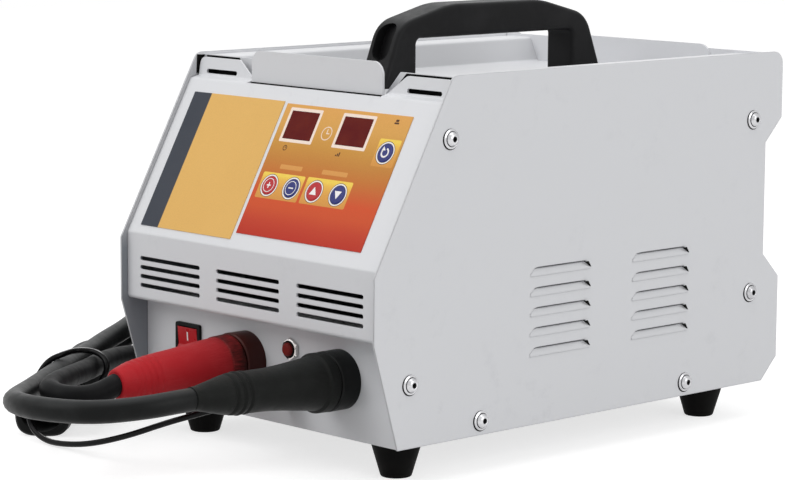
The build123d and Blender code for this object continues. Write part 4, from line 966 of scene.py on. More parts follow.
@dataclass
class Studio:
    """Camera at the photograph's place, soft lamps, and a pale floor and backdrop.

    Fields:
        camera_place: Metres.
        azimuth_deg, elevation_deg, roll_deg: Way that the camera looks.
        lens, sensor: Focal length and width of the sensor.
        clip: Nearest and farthest that the camera sees, metres.
        lamps: Name, place, target, side in metres and watts of each lamp.
        ambient: Strength of the even light.
        floor_half: Half the floor's side, metres.
        floor_grey, floor_lift: The floor's own grey, and the light that is added where it is seen.
    """

    camera_place: Point = (1.41771, -1.39737, 0.41151)
    azimuth_deg: float = 46.691
    elevation_deg: float = 8.09
    roll_deg: float = 0.327
    lens: float = 132.64
    sensor: float = 36.0
    clip: tuple[float, float] = (0.05, 40.0)
    lamps: tuple[tuple[str, Point, Point, float, float], ...] = (
        ("key_lamp", (-1.3, -2.3, 2.3), (0.0, -0.1, 0.15), 2.0, 34.0),
        ("top_lamp", (0.2, -0.2, 2.6), (0.0, 0.0, 0.1), 2.2, 16.0),
        ("side_lamp", (2.6, 0.3, 1.2), (0.0, 0.0, 0.15), 1.8, 22.0),
    )
    ambient: float = 0.62
    floor_half: float = 4.0
    floor_grey: float = 0.5
    floor_lift: float = 0.69

    def build(self) -> None:
        """Make the camera, lamps, floor and backdrop."""
        self.camera()
        for lamp in self.lamps:
            self.lamp(*lamp)
        self.backdrop()
        self.floor()

    def camera(self) -> None:
        """Place the camera: its back axis points from the object to it, and its right axis leans by the roll."""
        turn, rise, roll = map(math.radians, (self.azimuth_deg, self.elevation_deg, self.roll_deg))
        back = Vector((math.sin(turn) * math.cos(rise), -math.cos(turn) * math.cos(rise), math.sin(rise)))
        level = Vector((math.cos(turn), math.sin(turn), 0.0))
        upright = back.cross(level)
        right = level * math.cos(roll) + upright * math.sin(roll)
        data = bpy.data.cameras.new("camera")
        data.lens, data.sensor_width = self.lens, self.sensor
        data.clip_start, data.clip_end = self.clip
        camera = linked("camera", data)
        axes = Matrix((right, back.cross(right), back)).transposed().to_4x4()
        camera.matrix_world = Matrix.Translation(self.camera_place) @ axes
        bpy.context.scene.camera = camera

    def lamp(self, name: str, place: Point, target: Point, size: float, power: float) -> None:
        """Add a square soft lamp.

        Args:
            name: Its name.
            place, target: Where it is and what it points at, metres.
            size: Its side, metres.
            power: Watts.
        """
        data = bpy.data.lights.new(name, "AREA")
        data.size, data.energy = size, power
        lamp = linked(name, data)
        lamp.location = place
        lamp.rotation_euler = (Vector(target) - Vector(place)).to_track_quat("-Z", "Y").to_euler()

    def seen(self, g: Graph) -> Socket:
        """1 for rays that show the background: straight, in gloss and through glass."""
        path = g.node("ShaderNodeLightPath").outputs
        bent = g.math("MAXIMUM", path["Is Glossy Ray"], path["Is Transmission Ray"])
        return g.math("MAXIMUM", path["Is Camera Ray"], bent)

    def backdrop(self) -> None:
        """White where it is seen, and a plain even light elsewhere."""
        world = bpy.data.worlds.new("backdrop")
        bpy.context.scene.world = world
        g = Graph(world.name, world)
        strength = g.span(self.seen(g), 0.0, 1.0, self.ambient, 1.0)
        light = g.node("ShaderNodeBackground", {"Color": (1.0, 1.0, 1.0, 1.0), "Strength": strength})
        g.node("ShaderNodeOutputWorld", {"Surface": light.outputs[0]})

    def floor(self) -> None:
        """Pale floor that keeps the object's shadow and is lifted to white where it is seen."""
        half = self.floor_half / MM
        edge = np.linspace(-half, half, 9)
        x, y = np.meshgrid(edge, edge)
        floor = mesh_piece("floor", [Grid(np.stack([x, y, np.zeros_like(x)], -1), wrap_columns=False)])
        g = Graph("floor_pale")
        matte = g.node("ShaderNodeBsdfDiffuse", {"Color": (*[self.floor_grey] * 3, 1.0)})
        lift = g.node("ShaderNodeEmission", {"Strength": g.times(self.seen(g), self.floor_lift)})
        both = g.node("ShaderNodeAddShader", {0: matte.outputs[0], 1: lift.outputs[0]})
        g.node("ShaderNodeOutputMaterial", {"Surface": both.outputs[0]})
        floor.data.materials.append(g.material)


# ---------------------------------------------------------------- cords


@dataclass
class CoilTurns:
    """Turns of a coil as points: place on the floor, radius and level of each turn, easing to the next near its end.

    Fields:
        centre: Middle on the floor.
        turns: (radius, level) of each turn.
        begin_deg: Angle where it starts.
        sweep_deg: How far it goes, below 0 for clockwise.
        ease_deg: Part of each turn where it passes to the next.
        step_deg: Angle between points.
    """

    centre: tuple[float, float]
    turns: list[tuple[float, float]]
    begin_deg: float
    sweep_deg: float
    ease_deg: float = 80.0
    step_deg: float = 24.0

    def points(self) -> list[Point]:
        """Points of the turns: radius and level hold still, then move by 3t^2 - 2t^3 over each turn's last part.

        The radius is enlarged, because the spline runs inside its points.

        Returns:
            The points in order.
        """
        count = int(abs(self.sweep_deg) // self.step_deg)
        gone = np.arange(1, count) * self.step_deg
        turn = np.minimum((gone // 360).astype(int), len(self.turns) - 1)
        share = np.clip((gone % 360 - 360 + self.ease_deg) / self.ease_deg, 0, 1)
        share = share * share * (3 - 2 * share)
        sizes = np.array(self.turns, float)
        after = np.minimum(turn + 1, len(sizes) - 1)
        radius, level = (sizes[turn] + (sizes[after] - sizes[turn]) * share[:, None]).T
        radius = radius / (0.75 + 0.25 * math.cos(math.radians(self.step_deg)))
        angle = np.radians(self.begin_deg + math.copysign(1.0, self.sweep_deg) * gone)
        x, y = self.centre[0] + radius * np.cos(angle), self.centre[1] + radius * np.sin(angle)
        return [tuple(map(float, spot)) for spot in np.column_stack([x, y, level])]


@dataclass
class Cord:
    """One cord: its way out of the machine, its put-away coil and its way on to what it ends in.

    Fields:
        name: Name of the piece.
        diameter: Its thickness.
        way_out, way_back: Points before and after the coil.
        coil: The turns.
        length: Real length, metres; not used.
        nodes: CAD nodes that it stands for.
        far_end: What it ends in; not used.
        with_pieces: CAD nodes and new pieces that go with it; not used.
        finish: Name of its finish.
    """

    name: str
    diameter: float
    way_out: list[Point]
    coil: CoilTurns
    way_back: list[Point]
    length: float
    nodes: tuple[str, ...]
    far_end: str
    with_pieces: tuple[str, ...]
    finish: str = "cable_black"

    def build(self, wardrobe: Wardrobe, ties: list[bpy.types.Object]) -> None:
        """Args:
            wardrobe: The finishes.
            ties: Straps round its coil; not used.
        """
        points = np.array(self.way_out + self.coil.points() + self.way_back, float) * MM
        curve = bpy.data.curves.new(self.name, "CURVE")
        curve.dimensions = "3D"
        curve.bevel_depth = self.diameter / 2 * MM
        curve.bevel_resolution = 6
        curve.resolution_u = 6
        curve.use_fill_caps = True
        spline = curve.splines.new("NURBS")
        spline.points.add(len(points) - 1)
        spline.points.foreach_set("co", np.column_stack([points, np.ones(len(points))]).ravel())
        spline.order_u = 3
        spline.use_endpoint_u = True
        cord = linked(self.name, curve)
        wardrobe.dress_piece(cord, self.finish, replaced=self.nodes)


@dataclass
class Strap:
    """Hook-and-loop strap round a stack of turns: a flat band carried round a rectangle with rounded corners."""

    name: str
    centre: tuple[float, float]
    radius: float
    half_section: float
    low: float
    high: float
    angle_deg: float
    width: float = 16.0
    thickness: float = 1.4
    corner: float = 6.5

    def build(self, wardrobe: Wardrobe) -> bpy.types.Object:
        """Make the strap.

        Args:
            wardrobe: The finishes.

        Returns:
            The strap.
        """
        corner = min(self.half_section, self.corner)
        half_tall = (self.high - self.low) / 2
        arc = np.linspace(0, math.pi / 2, 9)
        quarter = [arc + k * math.pi / 2 for k in range(4)]
        sign = [(1, 1), (-1, 1), (-1, -1), (1, -1)]
        ring, out = [], []
        for (sx, sy), angle in zip(sign, quarter):
            way = np.column_stack([np.cos(angle), np.sin(angle)])
            ring.append(np.array([sx * (self.half_section - corner), sy * (half_tall - corner)]) + corner * way)
            out.append(way)
        ring, out = np.concatenate(ring), np.concatenate(out)
        section = np.array([(0.0, -0.5), (0.0, 0.5), (0.7, 0.5), (1.0, 0.42), (1.0, -0.42), (0.7, -0.5)])
        flat = ring[:, None] + out[:, None] * (section[:, 0] * self.thickness)[None, :, None]
        sideways = np.broadcast_to(section[:, 1] * self.width, flat.shape[:2])
        turn = math.radians(self.angle_deg)
        away = np.array([math.cos(turn), math.sin(turn), 0.0])
        along = np.array([-math.sin(turn), math.cos(turn), 0.0])
        base = np.array([*self.centre, (self.low + self.high) / 2])
        points = (base + (self.radius + flat[..., :1]) * away + flat[..., 1:] * np.array(Z_WAY)
                  + sideways[..., None] * along)
        points[..., 2] = np.maximum(points[..., 2], SKIN)
        grid = Grid(points, wrap_rows=True)
        return wardrobe.make(self.name, [grid], "strap_black", "cable_black", sharp_deg=50.0)


@dataclass
class Cords(Assembly):
    """The gun cable, the ground cable and the trigger lead."""

    cable: float = 14.7
    lead: float = 4.0
    coil_centre: tuple[float, float] = (-240.0, 30.0)
    coil_radius: float = 80.0
    coil_top: float = 73.8
    strap_degs: tuple[float, ...] = (48.0, 128.0, 292.0)
    lead_centre: tuple[float, float] = (-228.0, -92.0)
    lead_radii: tuple[float, float] = (19.0, 15.0)
    red_tail: Point = (-20.0, -282.014, 60.395)
    black_tail: Point = (72.0, -280.71, 65.729)
    lead_tail: Point = (25.0, -210.0, 46.0)
    gun_entry: Point = (-288.52, -86.75, 19.0)

    def build(self) -> None:
        """Lay the three cords and tie their coils."""
        straps = [Strap(f"cable_strap_{i + 1}", self.coil_centre, self.coil_radius, self.cable / 2, low=0.0,
                        high=self.coil_top, angle_deg=angle) for i, angle in enumerate(self.strap_degs)]
        lead_strap = Strap("lead_strap", self.lead_centre, radius=sum(self.lead_radii) / 2, half_section=self.lead,
                           low=0.0, high=6 * self.lead, angle_deg=200.0, width=6.0, thickness=0.9)
        ties = [strap.build(self.wardrobe) for strap in straps]
        lead_tie = lead_strap.build(self.wardrobe)
        self.gun_cable().build(self.wardrobe, ties)
        self.ground_cable().build(self.wardrobe, [])
        self.trigger_lead().build(self.wardrobe, [lead_tie])

    def gun_cable(self) -> Cord:
        """Cable from the red plug to the pulling gun."""
        way_out = [
            self.red_tail, (-20, -294, 56.4), (-23.5, -305, 54.2), (-34, -313.5, 54), (-47.5, -314, 55.2),
            (-60, -306, 55.4), (-74, -290, 54.8), (-98, -260, 51.8), (-125, -226, 48), (-152, -193, 45.5),
            (-176, -160, 42), (-193, -125, 36.5), (-199, -87, 27), (-193, -48, 16), (-178, -11, 8.6), (-161, 24, 7.4),
        ]
        way_back = [(-320, 30, 36.75), (-320, -5, 33), (-315, -38, 27), (-304, -65, 21), self.gun_entry]
        levels = [(self.coil_radius, self.cable * (0.5 + k)) for k in range(3)]
        coil = CoilTurns(self.coil_centre, levels, 0.0, 900.0)
        return Cord("gun_cord", self.cable, way_out, coil, way_back, 1.83, ("gun_cable", "gun_coil"), "tool",
                    ("gun_shell", "gun_chuck", "gun_trigger"), "cable_matt")

    def ground_cable(self) -> Cord:
        """Cable from the black plug to the ground magnet."""
        way_out = [
            self.black_tail, (72, -302, 66), (67, -328, 64.1), (47, -355, 61.4), (10, -368.6, 60.6),
            (-26.3, -359.2, 57.9), (-57.7, -333.6, 52.5), (-86, -303, 49.2), (-114, -269, 48.2), (-143, -235, 46.4),
            (-172, -201, 45), (-202, -166, 42.5), (-231, -129, 42.5), (-257, -91, 43), (-281, -53, 48),
            (-303, -20, 52), (-317, 12, 52),
        ]
        way_back = [(-316, 4, 66.4), (-325, 33, 65), (-328, 64, 59), (-325, 95, 47), (-319, 124, 33), (-312, 151, 22),
                    (-305, 178, 17.5)]
        levels = [(self.coil_radius, 51.75), (self.coil_radius, 66.45)]
        coil = CoilTurns(self.coil_centre, levels, 180.0, -700.0)
        return Cord("ground_cord", self.cable, way_out, coil, way_back, 1.8, ("ground_cable", "ground_coil"),
                    "fitting", ("ground_lug", "magnet_puck"))

    def trigger_lead(self) -> Cord:
        """Thin lead from its own plug to the gun's trigger switch."""
        way_out = [
            self.lead_tail, (23, -226, 45.5), (8, -236, 39.5), (-18, -244, 30.3), (-50, -251, 17.4), (-84, -256, 7.2),
            (-112, -258, 3), (-132.2, -257.7, 2.6), (-146.8, -257.4, 8.4), (-151.8, -256.4, 18.4),
            (-153.3, -251.9, 29.5), (-151, -249.7, 41.6), (-147.5, -243, 53), (-143.5, -232.5, 57),
            (-146, -221, 57.8), (-139, -212.5, 57.6), (-128, -212, 56.2), (-120.5, -213, 52), (-119, -214.5, 46),
            (-121, -217, 40.5), (-123.5, -218, 35), (-127, -214, 30), (-134, -205.5, 24), (-147, -193.5, 13),
            (-162, -180, 4.5), (-178, -165, 3), (-193, -150, 3), (-207, -128, 3), (-213, -105, 3),
        ]
        way_back = [(-241, -76.6, 22), (-253, -79.5, 21), (-266, -86.2, 18.6)]
        order = [0, 1, 1, 0] * 3
        levels = [(self.lead_radii[side], self.lead * (0.5 + k // 2)) for k, side in enumerate(order)]
        coil = CoilTurns(self.lead_centre, levels, -41.0, 4450.0)
        return Cord("trigger_cord", self.lead, way_out, coil, way_back, 1.83, ("control_lead", "lead_coil"), "tool",
                    ("gun_shell",), "lead_painted_glints")


# ---------------------------------------------------------------- case


@dataclass
class Case(Assembly):
    """Folded steel case with its handle, screws, louvres and feet, and dark pieces that paint shade in its seam,
    corners, louvres and screw heads.
    """

    dress: dict[str, str] = field(default_factory=lambda: {
        "base_chassis": "case_grey", "right_side_panel": "side_grey", "left_side_panel": "side_grey",
        "front_panel": "case_grey", "connector_panel": "case_grey", "rear_panel": "case_grey",
        "top_cover": "tray_grey", "handle_screws": "stainless", "carry_handle": "handle_black"})
    half_width: float = 127.0
    wall_inside: float = 125.5
    plate_y: float = -121.0
    screw_places: tuple[tuple[float, float], ...] = (
        (-130.646, 218.815), (165.25, 212.1), (165.25, 90.1), (-101.45, 34.6), (97.25, 34.6), (-164.45, 65.9))
    louvre_places: tuple[tuple[float, float], ...] = tuple(
        (y, 129.1 - 13.25 * row) for y in (-28.6, 70.1) for row in range(5))
    louvre_lean_deg: float = 24.0
    flap_drop: float = 4.1
    seam_shade_half: float = 64.0
    foot_places: tuple[tuple[float, float], ...] = tuple((x, y) for x in (-96.0, 96.0) for y in (-147.15, 149.05))
    foot_top: float = 17.0
    foot_low: float = 10.0
    foot_height: float = 25.0

    def build(self) -> None:
        """Dress the panels and handle, and make the feet and screws, and the dark pieces that paint shade in the seam,
        corners, louvres and screw heads.
        """
        super().build()
        self.feet()
        self.seam_shade()
        self.corner_shades()
        for side, name in ((1, "right"), (-1, "left")):
            self.louvres(side, name)
            self.side_screws(side, name)

    def corner_shades(self) -> None:
        """Painted shade: thin dark plates on the corner plates behind the tabs and on the side panels beside them,
        where the gaps round the tabs are in shade.
        """
        right = np.array([(63.0, 243.2), (120.5, 243.2), (120.5, 256.2), (76.5, 256.2)])
        left = np.array([(-123.6, 243.2), (-89.0, 243.2), (-89.0, 256.2), (-123.6, 256.2)])
        place = Placing((0.0, self.plate_y, 0.0), X_WAY, Z_WAY, FRONT)
        grids = [slab(shape, place, SKIN, 0.6) for shape in (right, left)]
        inside = np.array([(-129.6, 244.0), (-127.6, 244.0), (-122.0, 256.4), (-129.0, 256.9)])
        for side in (1.0, -1.0):
            wall = Placing((side * self.wall_inside, 0.0, 0.0), Y_WAY, Z_WAY, (-side, 0.0, 0.0))
            grids.append(slab(inside, wall, SKIN, 0.4))
        self.wardrobe.make("corner_shade_plates", grids, "foot_rubber", "foot_rubber")

    def louvres(self, side: int, name: str) -> None:
        """Painted shade in each louvre: a dark lens section along its mouth, and a dark wedge at its rear where the
        open end shows only shade.

        The section's middle falls by 0.7 mm over the front 4 mm, and its height shrinks to nothing at both ends.

        Args:
            side: 1 for the right side and -1 for the left.
            name: Name of the side.
        """
        across_y = np.linspace(-25.2, 24.6, 41)[:, None]
        angle = np.linspace(0, 2 * math.pi, 12, endpoint=False)[None]
        drop = np.clip((-21.5 - across_y) / 3.7, 0, 1) ** 1.6
        thin = 1 - np.clip(np.abs(across_y + 0.3) / 24.9, 0, 1) ** 8
        up = 0.1 - 0.7 * drop + 0.36 * thin * np.cos(angle)
        out = 0.05 + 0.3 * thin * np.sin(angle)
        strip = np.stack([np.broadcast_to(across_y, up.shape), up, out], -1)
        lean = math.radians(self.louvre_lean_deg)
        flap_up, flap_out = (side * math.sin(lean), 0.0, math.cos(lean)), (side * math.cos(lean), 0.0, -math.sin(lean))
        wedge = np.array([(22.4, 3.3), (21.0, 4.3), (24.7, 4.5), (29.4, -0.3), (28.0, 0.0)])
        strips, wedges = [], []
        for y, z in self.louvre_places:
            face = Placing((side * self.half_width, y, z), Y_WAY, Z_WAY, (float(side), 0.0, 0.0))
            flap = Placing((side * self.half_width, y, z - self.flap_drop), Y_WAY, flap_up, flap_out)
            strips.append(Grid(face(strip)))
            wedges.append(slab(wedge, flap, SKIN, 0.16))
        self.wardrobe.make(f"{name}_louvre_shade_lines", strips, "louvre_shade_grey", "black_plastic")
        self.wardrobe.make(f"{name}_louvre_end_shades", wedges, "foot_rubber", "black_plastic")

    def side_screws(self, side: int, name: str) -> None:
        """Flanged button screws with a hexagon socket, and dark pieces that paint the shade in their sockets and
        grooves and the shadow under their flanges.

        Args:
            side: 1 for the right side and -1 for the left.
            name: Name of the side.
        """
        profile = rounded([
            (0, -9.0, 0), (2.5, -9.0, 0), (2.5, 0.0, 0), (6.5, 0.0, 0.2), (6.5, 0.7, 0.4), (5.2, 1.25, 0.3),
            (4.75, 1.0, 0.1), (4.7, 1.9, 0.7), (3.3, 3.6, 1.6), (2.0, 3.9, 0.2), (1.8, 3.7, 0.1), (1.75, 1.6, 0),
            (0, 1.6, 0),
        ])
        corners = np.radians(np.arange(6) * 60.0)
        socket = 1.72 * np.column_stack([np.cos(corners), np.sin(corners)])
        axis = (float(side), 0.0, 0.0)
        heads, shade_plates = [], []
        for y, z in self.screw_places:
            start = (side * self.half_width, y, z)
            place = Placing(start, Y_WAY, Z_WAY, axis)
            heads.append(revolved(profile, start, axis, 48))
            # Painted shade: a dark hexagon in the socket, a dark ring in the groove, and a dark ring set off towards
            # the front and down whose edge shows as the flange's cast shadow
            shade_plates += [slab(socket, place, 1.5, 2.4), band(4.72, 5.1, 0, 360, (0, 0), place, 0.7, 1.22),
                        band(5.6, 6.8, 0, 360, (-0.35, -0.25), place, SKIN, 0.3)]
        self.wardrobe.make(f"{name}_button_screws", heads, "stainless", "stainless", replaced=(f"{name}_case_screws",))
        self.wardrobe.make(f"{name}_screw_shades", shade_plates, "foot_rubber", "foot_rubber")

    def seam_shade(self) -> None:
        """Painted shade: a dark strip in the seam between the control slope and the tray's lip, where the gap is in
        shade; a rounded section carried along X.
        """
        section = rounded([(-133.1, 240.0, 0), (-133.1, 241.9, 0.4), (-131.35, 242.15, 0.3), (-131.35, 240.0, 0),
                           (-133.1, 240.0, 0)])
        reach = np.concatenate([[-self.seam_shade_half], np.linspace(-self.seam_shade_half, self.seam_shade_half, 33), [self.seam_shade_half]])
        loop = np.broadcast_to(section[:-1], (len(reach), len(section) - 1, 2)).copy()
        loop[[0, -1]] = loop[[0, -1]].mean(1, keepdims=True)
        points = np.concatenate([np.broadcast_to(reach[:, None, None], (*loop.shape[:2], 1)), loop], -1)
        self.wardrobe.make("lip_seam_shade", [Grid(points)], "foot_rubber", "foot_rubber")

    def feet(self) -> None:
        """Tapered rubber feet, hollow below round their screw, each turned from one profile."""
        top, low, high = self.foot_top, self.foot_low, self.foot_height
        profile = rounded([
            (0, 7, 0), (4, 7, 0.6), (4, 0, 0.8), (low, 0, 1.6), (top - 0.5, high - 3, 0.6), (top, high - 2.4, 0.5),
            (top, high, 0.3), (5, high, 0), (5, high + 1.5, 0), (7.5, high + 1.5, 0), (5, high + 4.5, 0.5),
            (0, high + 4.5, 0),
        ])
        grids = [revolved(profile, (x, y, 0.0), Z_WAY, 56) for x, y in self.foot_places]
        self.wardrobe.make("tapered_feet", grids, "foot_rubber", "foot_rubber", replaced=("rubber_feet",))


# ---------------------------------------------------------------- control face


@dataclass
class Key:
    """One round key: the CAD node that it stands for, its body, place, film colour and sign."""

    node: str
    body: Body
    place: tuple[float, float]
    film: str
    symbol: Symbol
    radius: float = 6.5
    top: float = 0.9

    def build(self, wardrobe: Wardrobe) -> None:
        """Make the key's cap and its printed sign.

        Args:
            wardrobe: The finishes.
        """
        x, s = self.place
        start = tuple(SLOPE(np.array([x, s, 0.0])))
        profile = rounded([
            (0, self.top, 0), (self.radius - 1.1, self.top, 0.6), (self.radius, self.top - 0.35, 0.4),
            (self.radius, -1.6, 0), (self.radius + 1.2, -1.6, 0.1), (self.radius + 1.2, -2.6, 0.1), (2.0, -2.6, 0),
            (2.0, -6.2, 0), (0, -6.2, 0),
        ])
        cap = revolved(profile, start, SLOPE_OUT, 64)
        wardrobe.make(self.node + "_cap", [cap], self.film, self.film, self.body, (self.node,))
        wardrobe.make(self.node + "_sign", self.sign(), "key_white", self.film, self.body)

    def sign(self) -> list[Grid]:
        """Printed sign as thin plates on the cap.

        Returns:
            The plates' grids.
        """
        low, high = self.top - 0.05, self.top + 0.06
        centre = self.place

        def plate(corners: list[tuple[float, float]]) -> Grid:
            """Thin plate from corner points about the key's middle."""
            return slab(np.array(corners) + np.array(centre), SLOPE, low, high)

        bar = [(-2.3, -0.45), (2.3, -0.45), (2.3, 0.45), (-2.3, 0.45)]
        ring = band(4.45, 4.95, 0, 360, centre, SLOPE, low, high)
        if self.symbol is Symbol.PLUS:
            post = [(-0.45, 0.45), (0.45, 0.45), (0.45, 2.1), (-0.45, 2.1)]
            return [plate([(1.9 / 2.3 * u, v) for u, v in bar]), plate(post), plate([(u, -v) for u, v in post]), ring]
        if self.symbol is Symbol.MINUS:
            return [plate(bar), ring]
        if self.symbol is Symbol.CYCLE:
            head = [(-3.6, 1.2), (-0.2, 1.6), (-2.5, 4.3)]
            return [band(2.3, 3.5, 150, 435, centre, SLOPE, low, high), plate(head)]
        flip = 1 if self.symbol is Symbol.UP else -1
        return [plate([(-3.3, -2.4 * flip), (3.3, -2.4 * flip), (0.0, 3.2 * flip)])]


@dataclass
class ControlFace(Assembly):
    """Printed films, display windows, keys and the board behind them."""

    keys: list[Key] = field(default_factory=lambda: [
        Key("time_plus_button", Body.TIME_PLUS, (-3.4, 46.4), "key_red", Symbol.PLUS),
        Key("time_minus_button", Body.TIME_MINUS, (18.3, 46.4), "key_blue", Symbol.MINUS),
        Key("power_up_button", Body.POWER_UP, (40.5, 46.4), "key_red", Symbol.UP),
        Key("power_down_button", Body.POWER_DOWN, (63.2, 46.4), "key_blue", Symbol.DOWN),
        Key("cycle_button", Body.CYCLE, (90.9, 78.5), "key_blue", Symbol.CYCLE),
    ])
    dress: dict[str, str] = field(default_factory=lambda: {
        "keypad_overlay": "overlay_print", "info_label": "label_print", "display_windows": "window_dark",
        "display_modules": "black_plastic", "control_board": "board_green", "board_standoffs": "zinc_steel",
        "key_switches": "black_plastic"})

    def build(self) -> None:
        """Dress the films and make the keys."""
        super().build()
        for key in self.keys:
            key.build(self.wardrobe)


# ---------------------------------------------------------------- connector face


@dataclass
class CablePlug:
    """Cable plug: a grip ring and a rubber sleeve that narrows to the cable, turned from one profile.

    Fields:
        node: CAD node that it stands for.
        finish: Name of its finish.
        x: Place across the case.
        tilt_deg: How far its axis rises.
        sleeve: (radius, along, rounding) corners from the ring to the tail.
        ribs: Where its grooves are, along the axis.
        rib_depth, rib_half: How far each groove swings, and half its width.
    """

    node: str
    finish: str
    x: float
    tilt_deg: float
    sleeve: list[tuple[float, float, float]]
    ribs: tuple[float, ...]
    rib_depth: float
    rib_half: float = 1.7
    start_y: float = -188.75
    start_z: float = 63.0
    bore: float = 6.6
    pin_depth: float = 25.0
    lip: float = 0.7
    cable: float = 7.2

    def build(self, wardrobe: Wardrobe) -> None:
        """Make the plug.

        Args:
            wardrobe: The finishes.
        """
        tilt = math.radians(self.tilt_deg)
        axis = (0.0, -math.cos(tilt), math.sin(tilt))
        tail = self.sleeve[-1][1]
        corners = [(self.bore, self.lip, 0), *self.sleeve, (self.cable, tail, 0), (0, tail, 0)]
        profile = rounded(corners, 8)
        for at in self.ribs:
            inside = np.linspace(at - self.rib_half, at + self.rib_half, 15)
            size = np.interp(inside, profile[:, 1], profile[:, 0])
            swell = self.rib_depth * (np.cos((inside - at) * math.pi / self.rib_half) - 0.45)
            first = np.searchsorted(profile[:, 1], inside[0])
            last = np.searchsorted(profile[:, 1], inside[-1])
            profile = np.concatenate([profile[:first], np.column_stack([size - swell, inside]), profile[last:]])
        hollow = np.array([(0, self.pin_depth), (self.bore, self.pin_depth), (self.bore, self.lip)])
        start = (self.x, self.start_y, self.start_z)
        grid = revolved(np.concatenate([profile, hollow]), start, axis, 84)
        wardrobe.make(self.node + "_sleeve", [grid], self.finish, self.finish, replaced=(self.node,))


@dataclass
class ConnectorFace(Assembly):
    """Sockets, plugs, the rocker switch and the reset breaker."""

    dress: dict[str, str] = field(default_factory=lambda: {
        "rocker_frame": "black_plastic", "rocker_button": "signal_red", "breaker_body": "black_plastic",
        "red_socket": "socket_maroon", "black_socket": "black_plastic", "socket_cores": "brass",
        "lead_socket": "black_plastic", "plug_pins": "brass"})
    plugs: tuple[CablePlug, ...] = field(default_factory=lambda: (
        CablePlug("red_plug", "plug_red", -20.0, -1.6, [
            (18.4, 0.7, 0.5), (19.0, 1.6, 0.5), (18.8, 11.0, 0.4), (18.2, 12.0, 0.4), (17.6, 26.0, 9.0),
            (16.0, 46.0, 9.0), (15.3, 60.0, 9.0), (14.0, 72.0, 9.0), (11.6, 88.0, 7.0), (9.6, 94.6, 1.0),
            (8.4, 95.3, 0.2),
        ], (66.0, 70.5, 75.0, 79.5, 84.0), 0.16),
        CablePlug("black_plug", "plug_black", 72.0, 1.7, [
            (18.4, 0.7, 0.5), (19.3, 1.6, 0.5), (19.3, 8.6, 0.9), (17.5, 10.0, 0.5), (16.3, 20.0, 9.0),
            (14.6, 36.0, 9.0), (13.6, 48.0, 9.0), (13.3, 64.0, 9.0), (12.2, 80.0, 9.0), (10.2, 93.0, 7.0),
            (7.8, 104.0, 5.0), (7.38, 108.5, 0.02),
        ], (70.0, 75.5, 81.0), 0.5),
    ))
    face_y: float = -173.75
    lead_place: tuple[float, float] = (25.0, 46.0)
    lead_collar: float = 3.0
    breaker_place: tuple[float, float] = (25.0, 76.3)
    rocker_place: tuple[float, float] = (-80.0, 64.4)
    rocker_tilt_deg: float = -10.0
    rocker_rise: float = 3.0
    rocker_half: float = 11.8
    rocker_axle: float = 1.0

    def build(self) -> None:
        """Dress the fittings and make the plugs, the breaker's nut and button, and the rocker's signs."""
        super().build()
        for plug in self.plugs:
            plug.build(self.wardrobe)
        self.lead_plug()
        self.breaker()
        self.rocker_signs()

    def lead_plug(self) -> None:
        """Small plug of the trigger lead: a grooved grip ring, a shoulder and a strain relief that narrows in rings."""
        grip = [(8.0 - 0.45 * (k % 2), 1.5 + 1.6 * k, 0.4) for k in range(11)]
        relief = [(4.0 - 0.12 * k - 0.5 * (k % 2), 25.6 + 0.95 * k, 0.25) for k in range(10)]
        profile = rounded([(0, 0, 0), (7.4, 0, 0.4), *grip, (8.0, 19.2, 0.6), (6.0, 23.0, 1.2), *relief,
                           (2.9, 35.25, 0.3), (0, 35.25, 0)], 4)
        x, z = self.lead_place
        grid = revolved(profile, (x, self.face_y - self.lead_collar, z), FRONT, 60)
        self.wardrobe.make("lead_plug_grip", [grid], "black_plastic", "black_plastic", replaced=("lead_plug",))

    def breaker(self) -> None:
        """Hexagon nut with turned-down corners, and a domed reset button."""
        x, z = self.breaker_place
        start = (x, self.face_y, z)
        nut = hexagon_nut(start, FRONT, flats=13.0, bore=5.65, height=3.0)
        self.wardrobe.make("breaker_ring_nut", [nut], "nut_chrome", "nut_chrome", replaced=("breaker_nut",))
        profile = rounded([(0, 6.0, 0), (3.4, 5.8, 1.0), (4.5, 4.6, 1.0), (4.5, -8.0, 0.2), (0, -8.0, 0)])
        dome = revolved(profile, start, FRONT, 48)
        self.wardrobe.make("breaker_dome", [dome], "button_red", "signal_red", Body.BREAKER, ("breaker_button",))

    def rocker_signs(self) -> None:
        """On bar and off ring, printed on the two halves of the rocker."""
        tilt = math.radians(self.rocker_tilt_deg)
        turn = np.array([[1, 0, 0], [0, math.cos(tilt), -math.sin(tilt)], [0, math.sin(tilt), math.cos(tilt)]])
        lean = math.atan2(self.rocker_rise, self.rocker_half)
        x, z = self.rocker_place
        low, high = -0.05, 0.08
        grids = []
        for half in (1, -1):
            up = np.array([0.0, -half * math.sin(lean), math.cos(lean)])
            out = np.array([0.0, -math.cos(lean), -half * math.sin(lean)])
            middle = np.array([0.0, -self.rocker_rise - self.rocker_axle, half * self.rocker_half / 2])
            origin = turn @ middle + np.array([x, self.face_y + self.rocker_axle, z])
            place = Placing(tuple(origin), X_WAY, tuple(turn @ up), tuple(turn @ out))
            if half > 0:
                bar = np.array([(-0.65, -3.0), (0.65, -3.0), (0.65, 3.0), (-0.65, 3.0)])
                grids.append(slab(bar, place, low, high))
            else:
                grids.append(band(1.7, 2.7, 0, 360, (0, 0), place, low, high))
        self.wardrobe.make("rocker_signs", grids, "key_white", "signal_red", Body.ROCKER)


# ---------------------------------------------------------------- rear, inside, gun and magnet


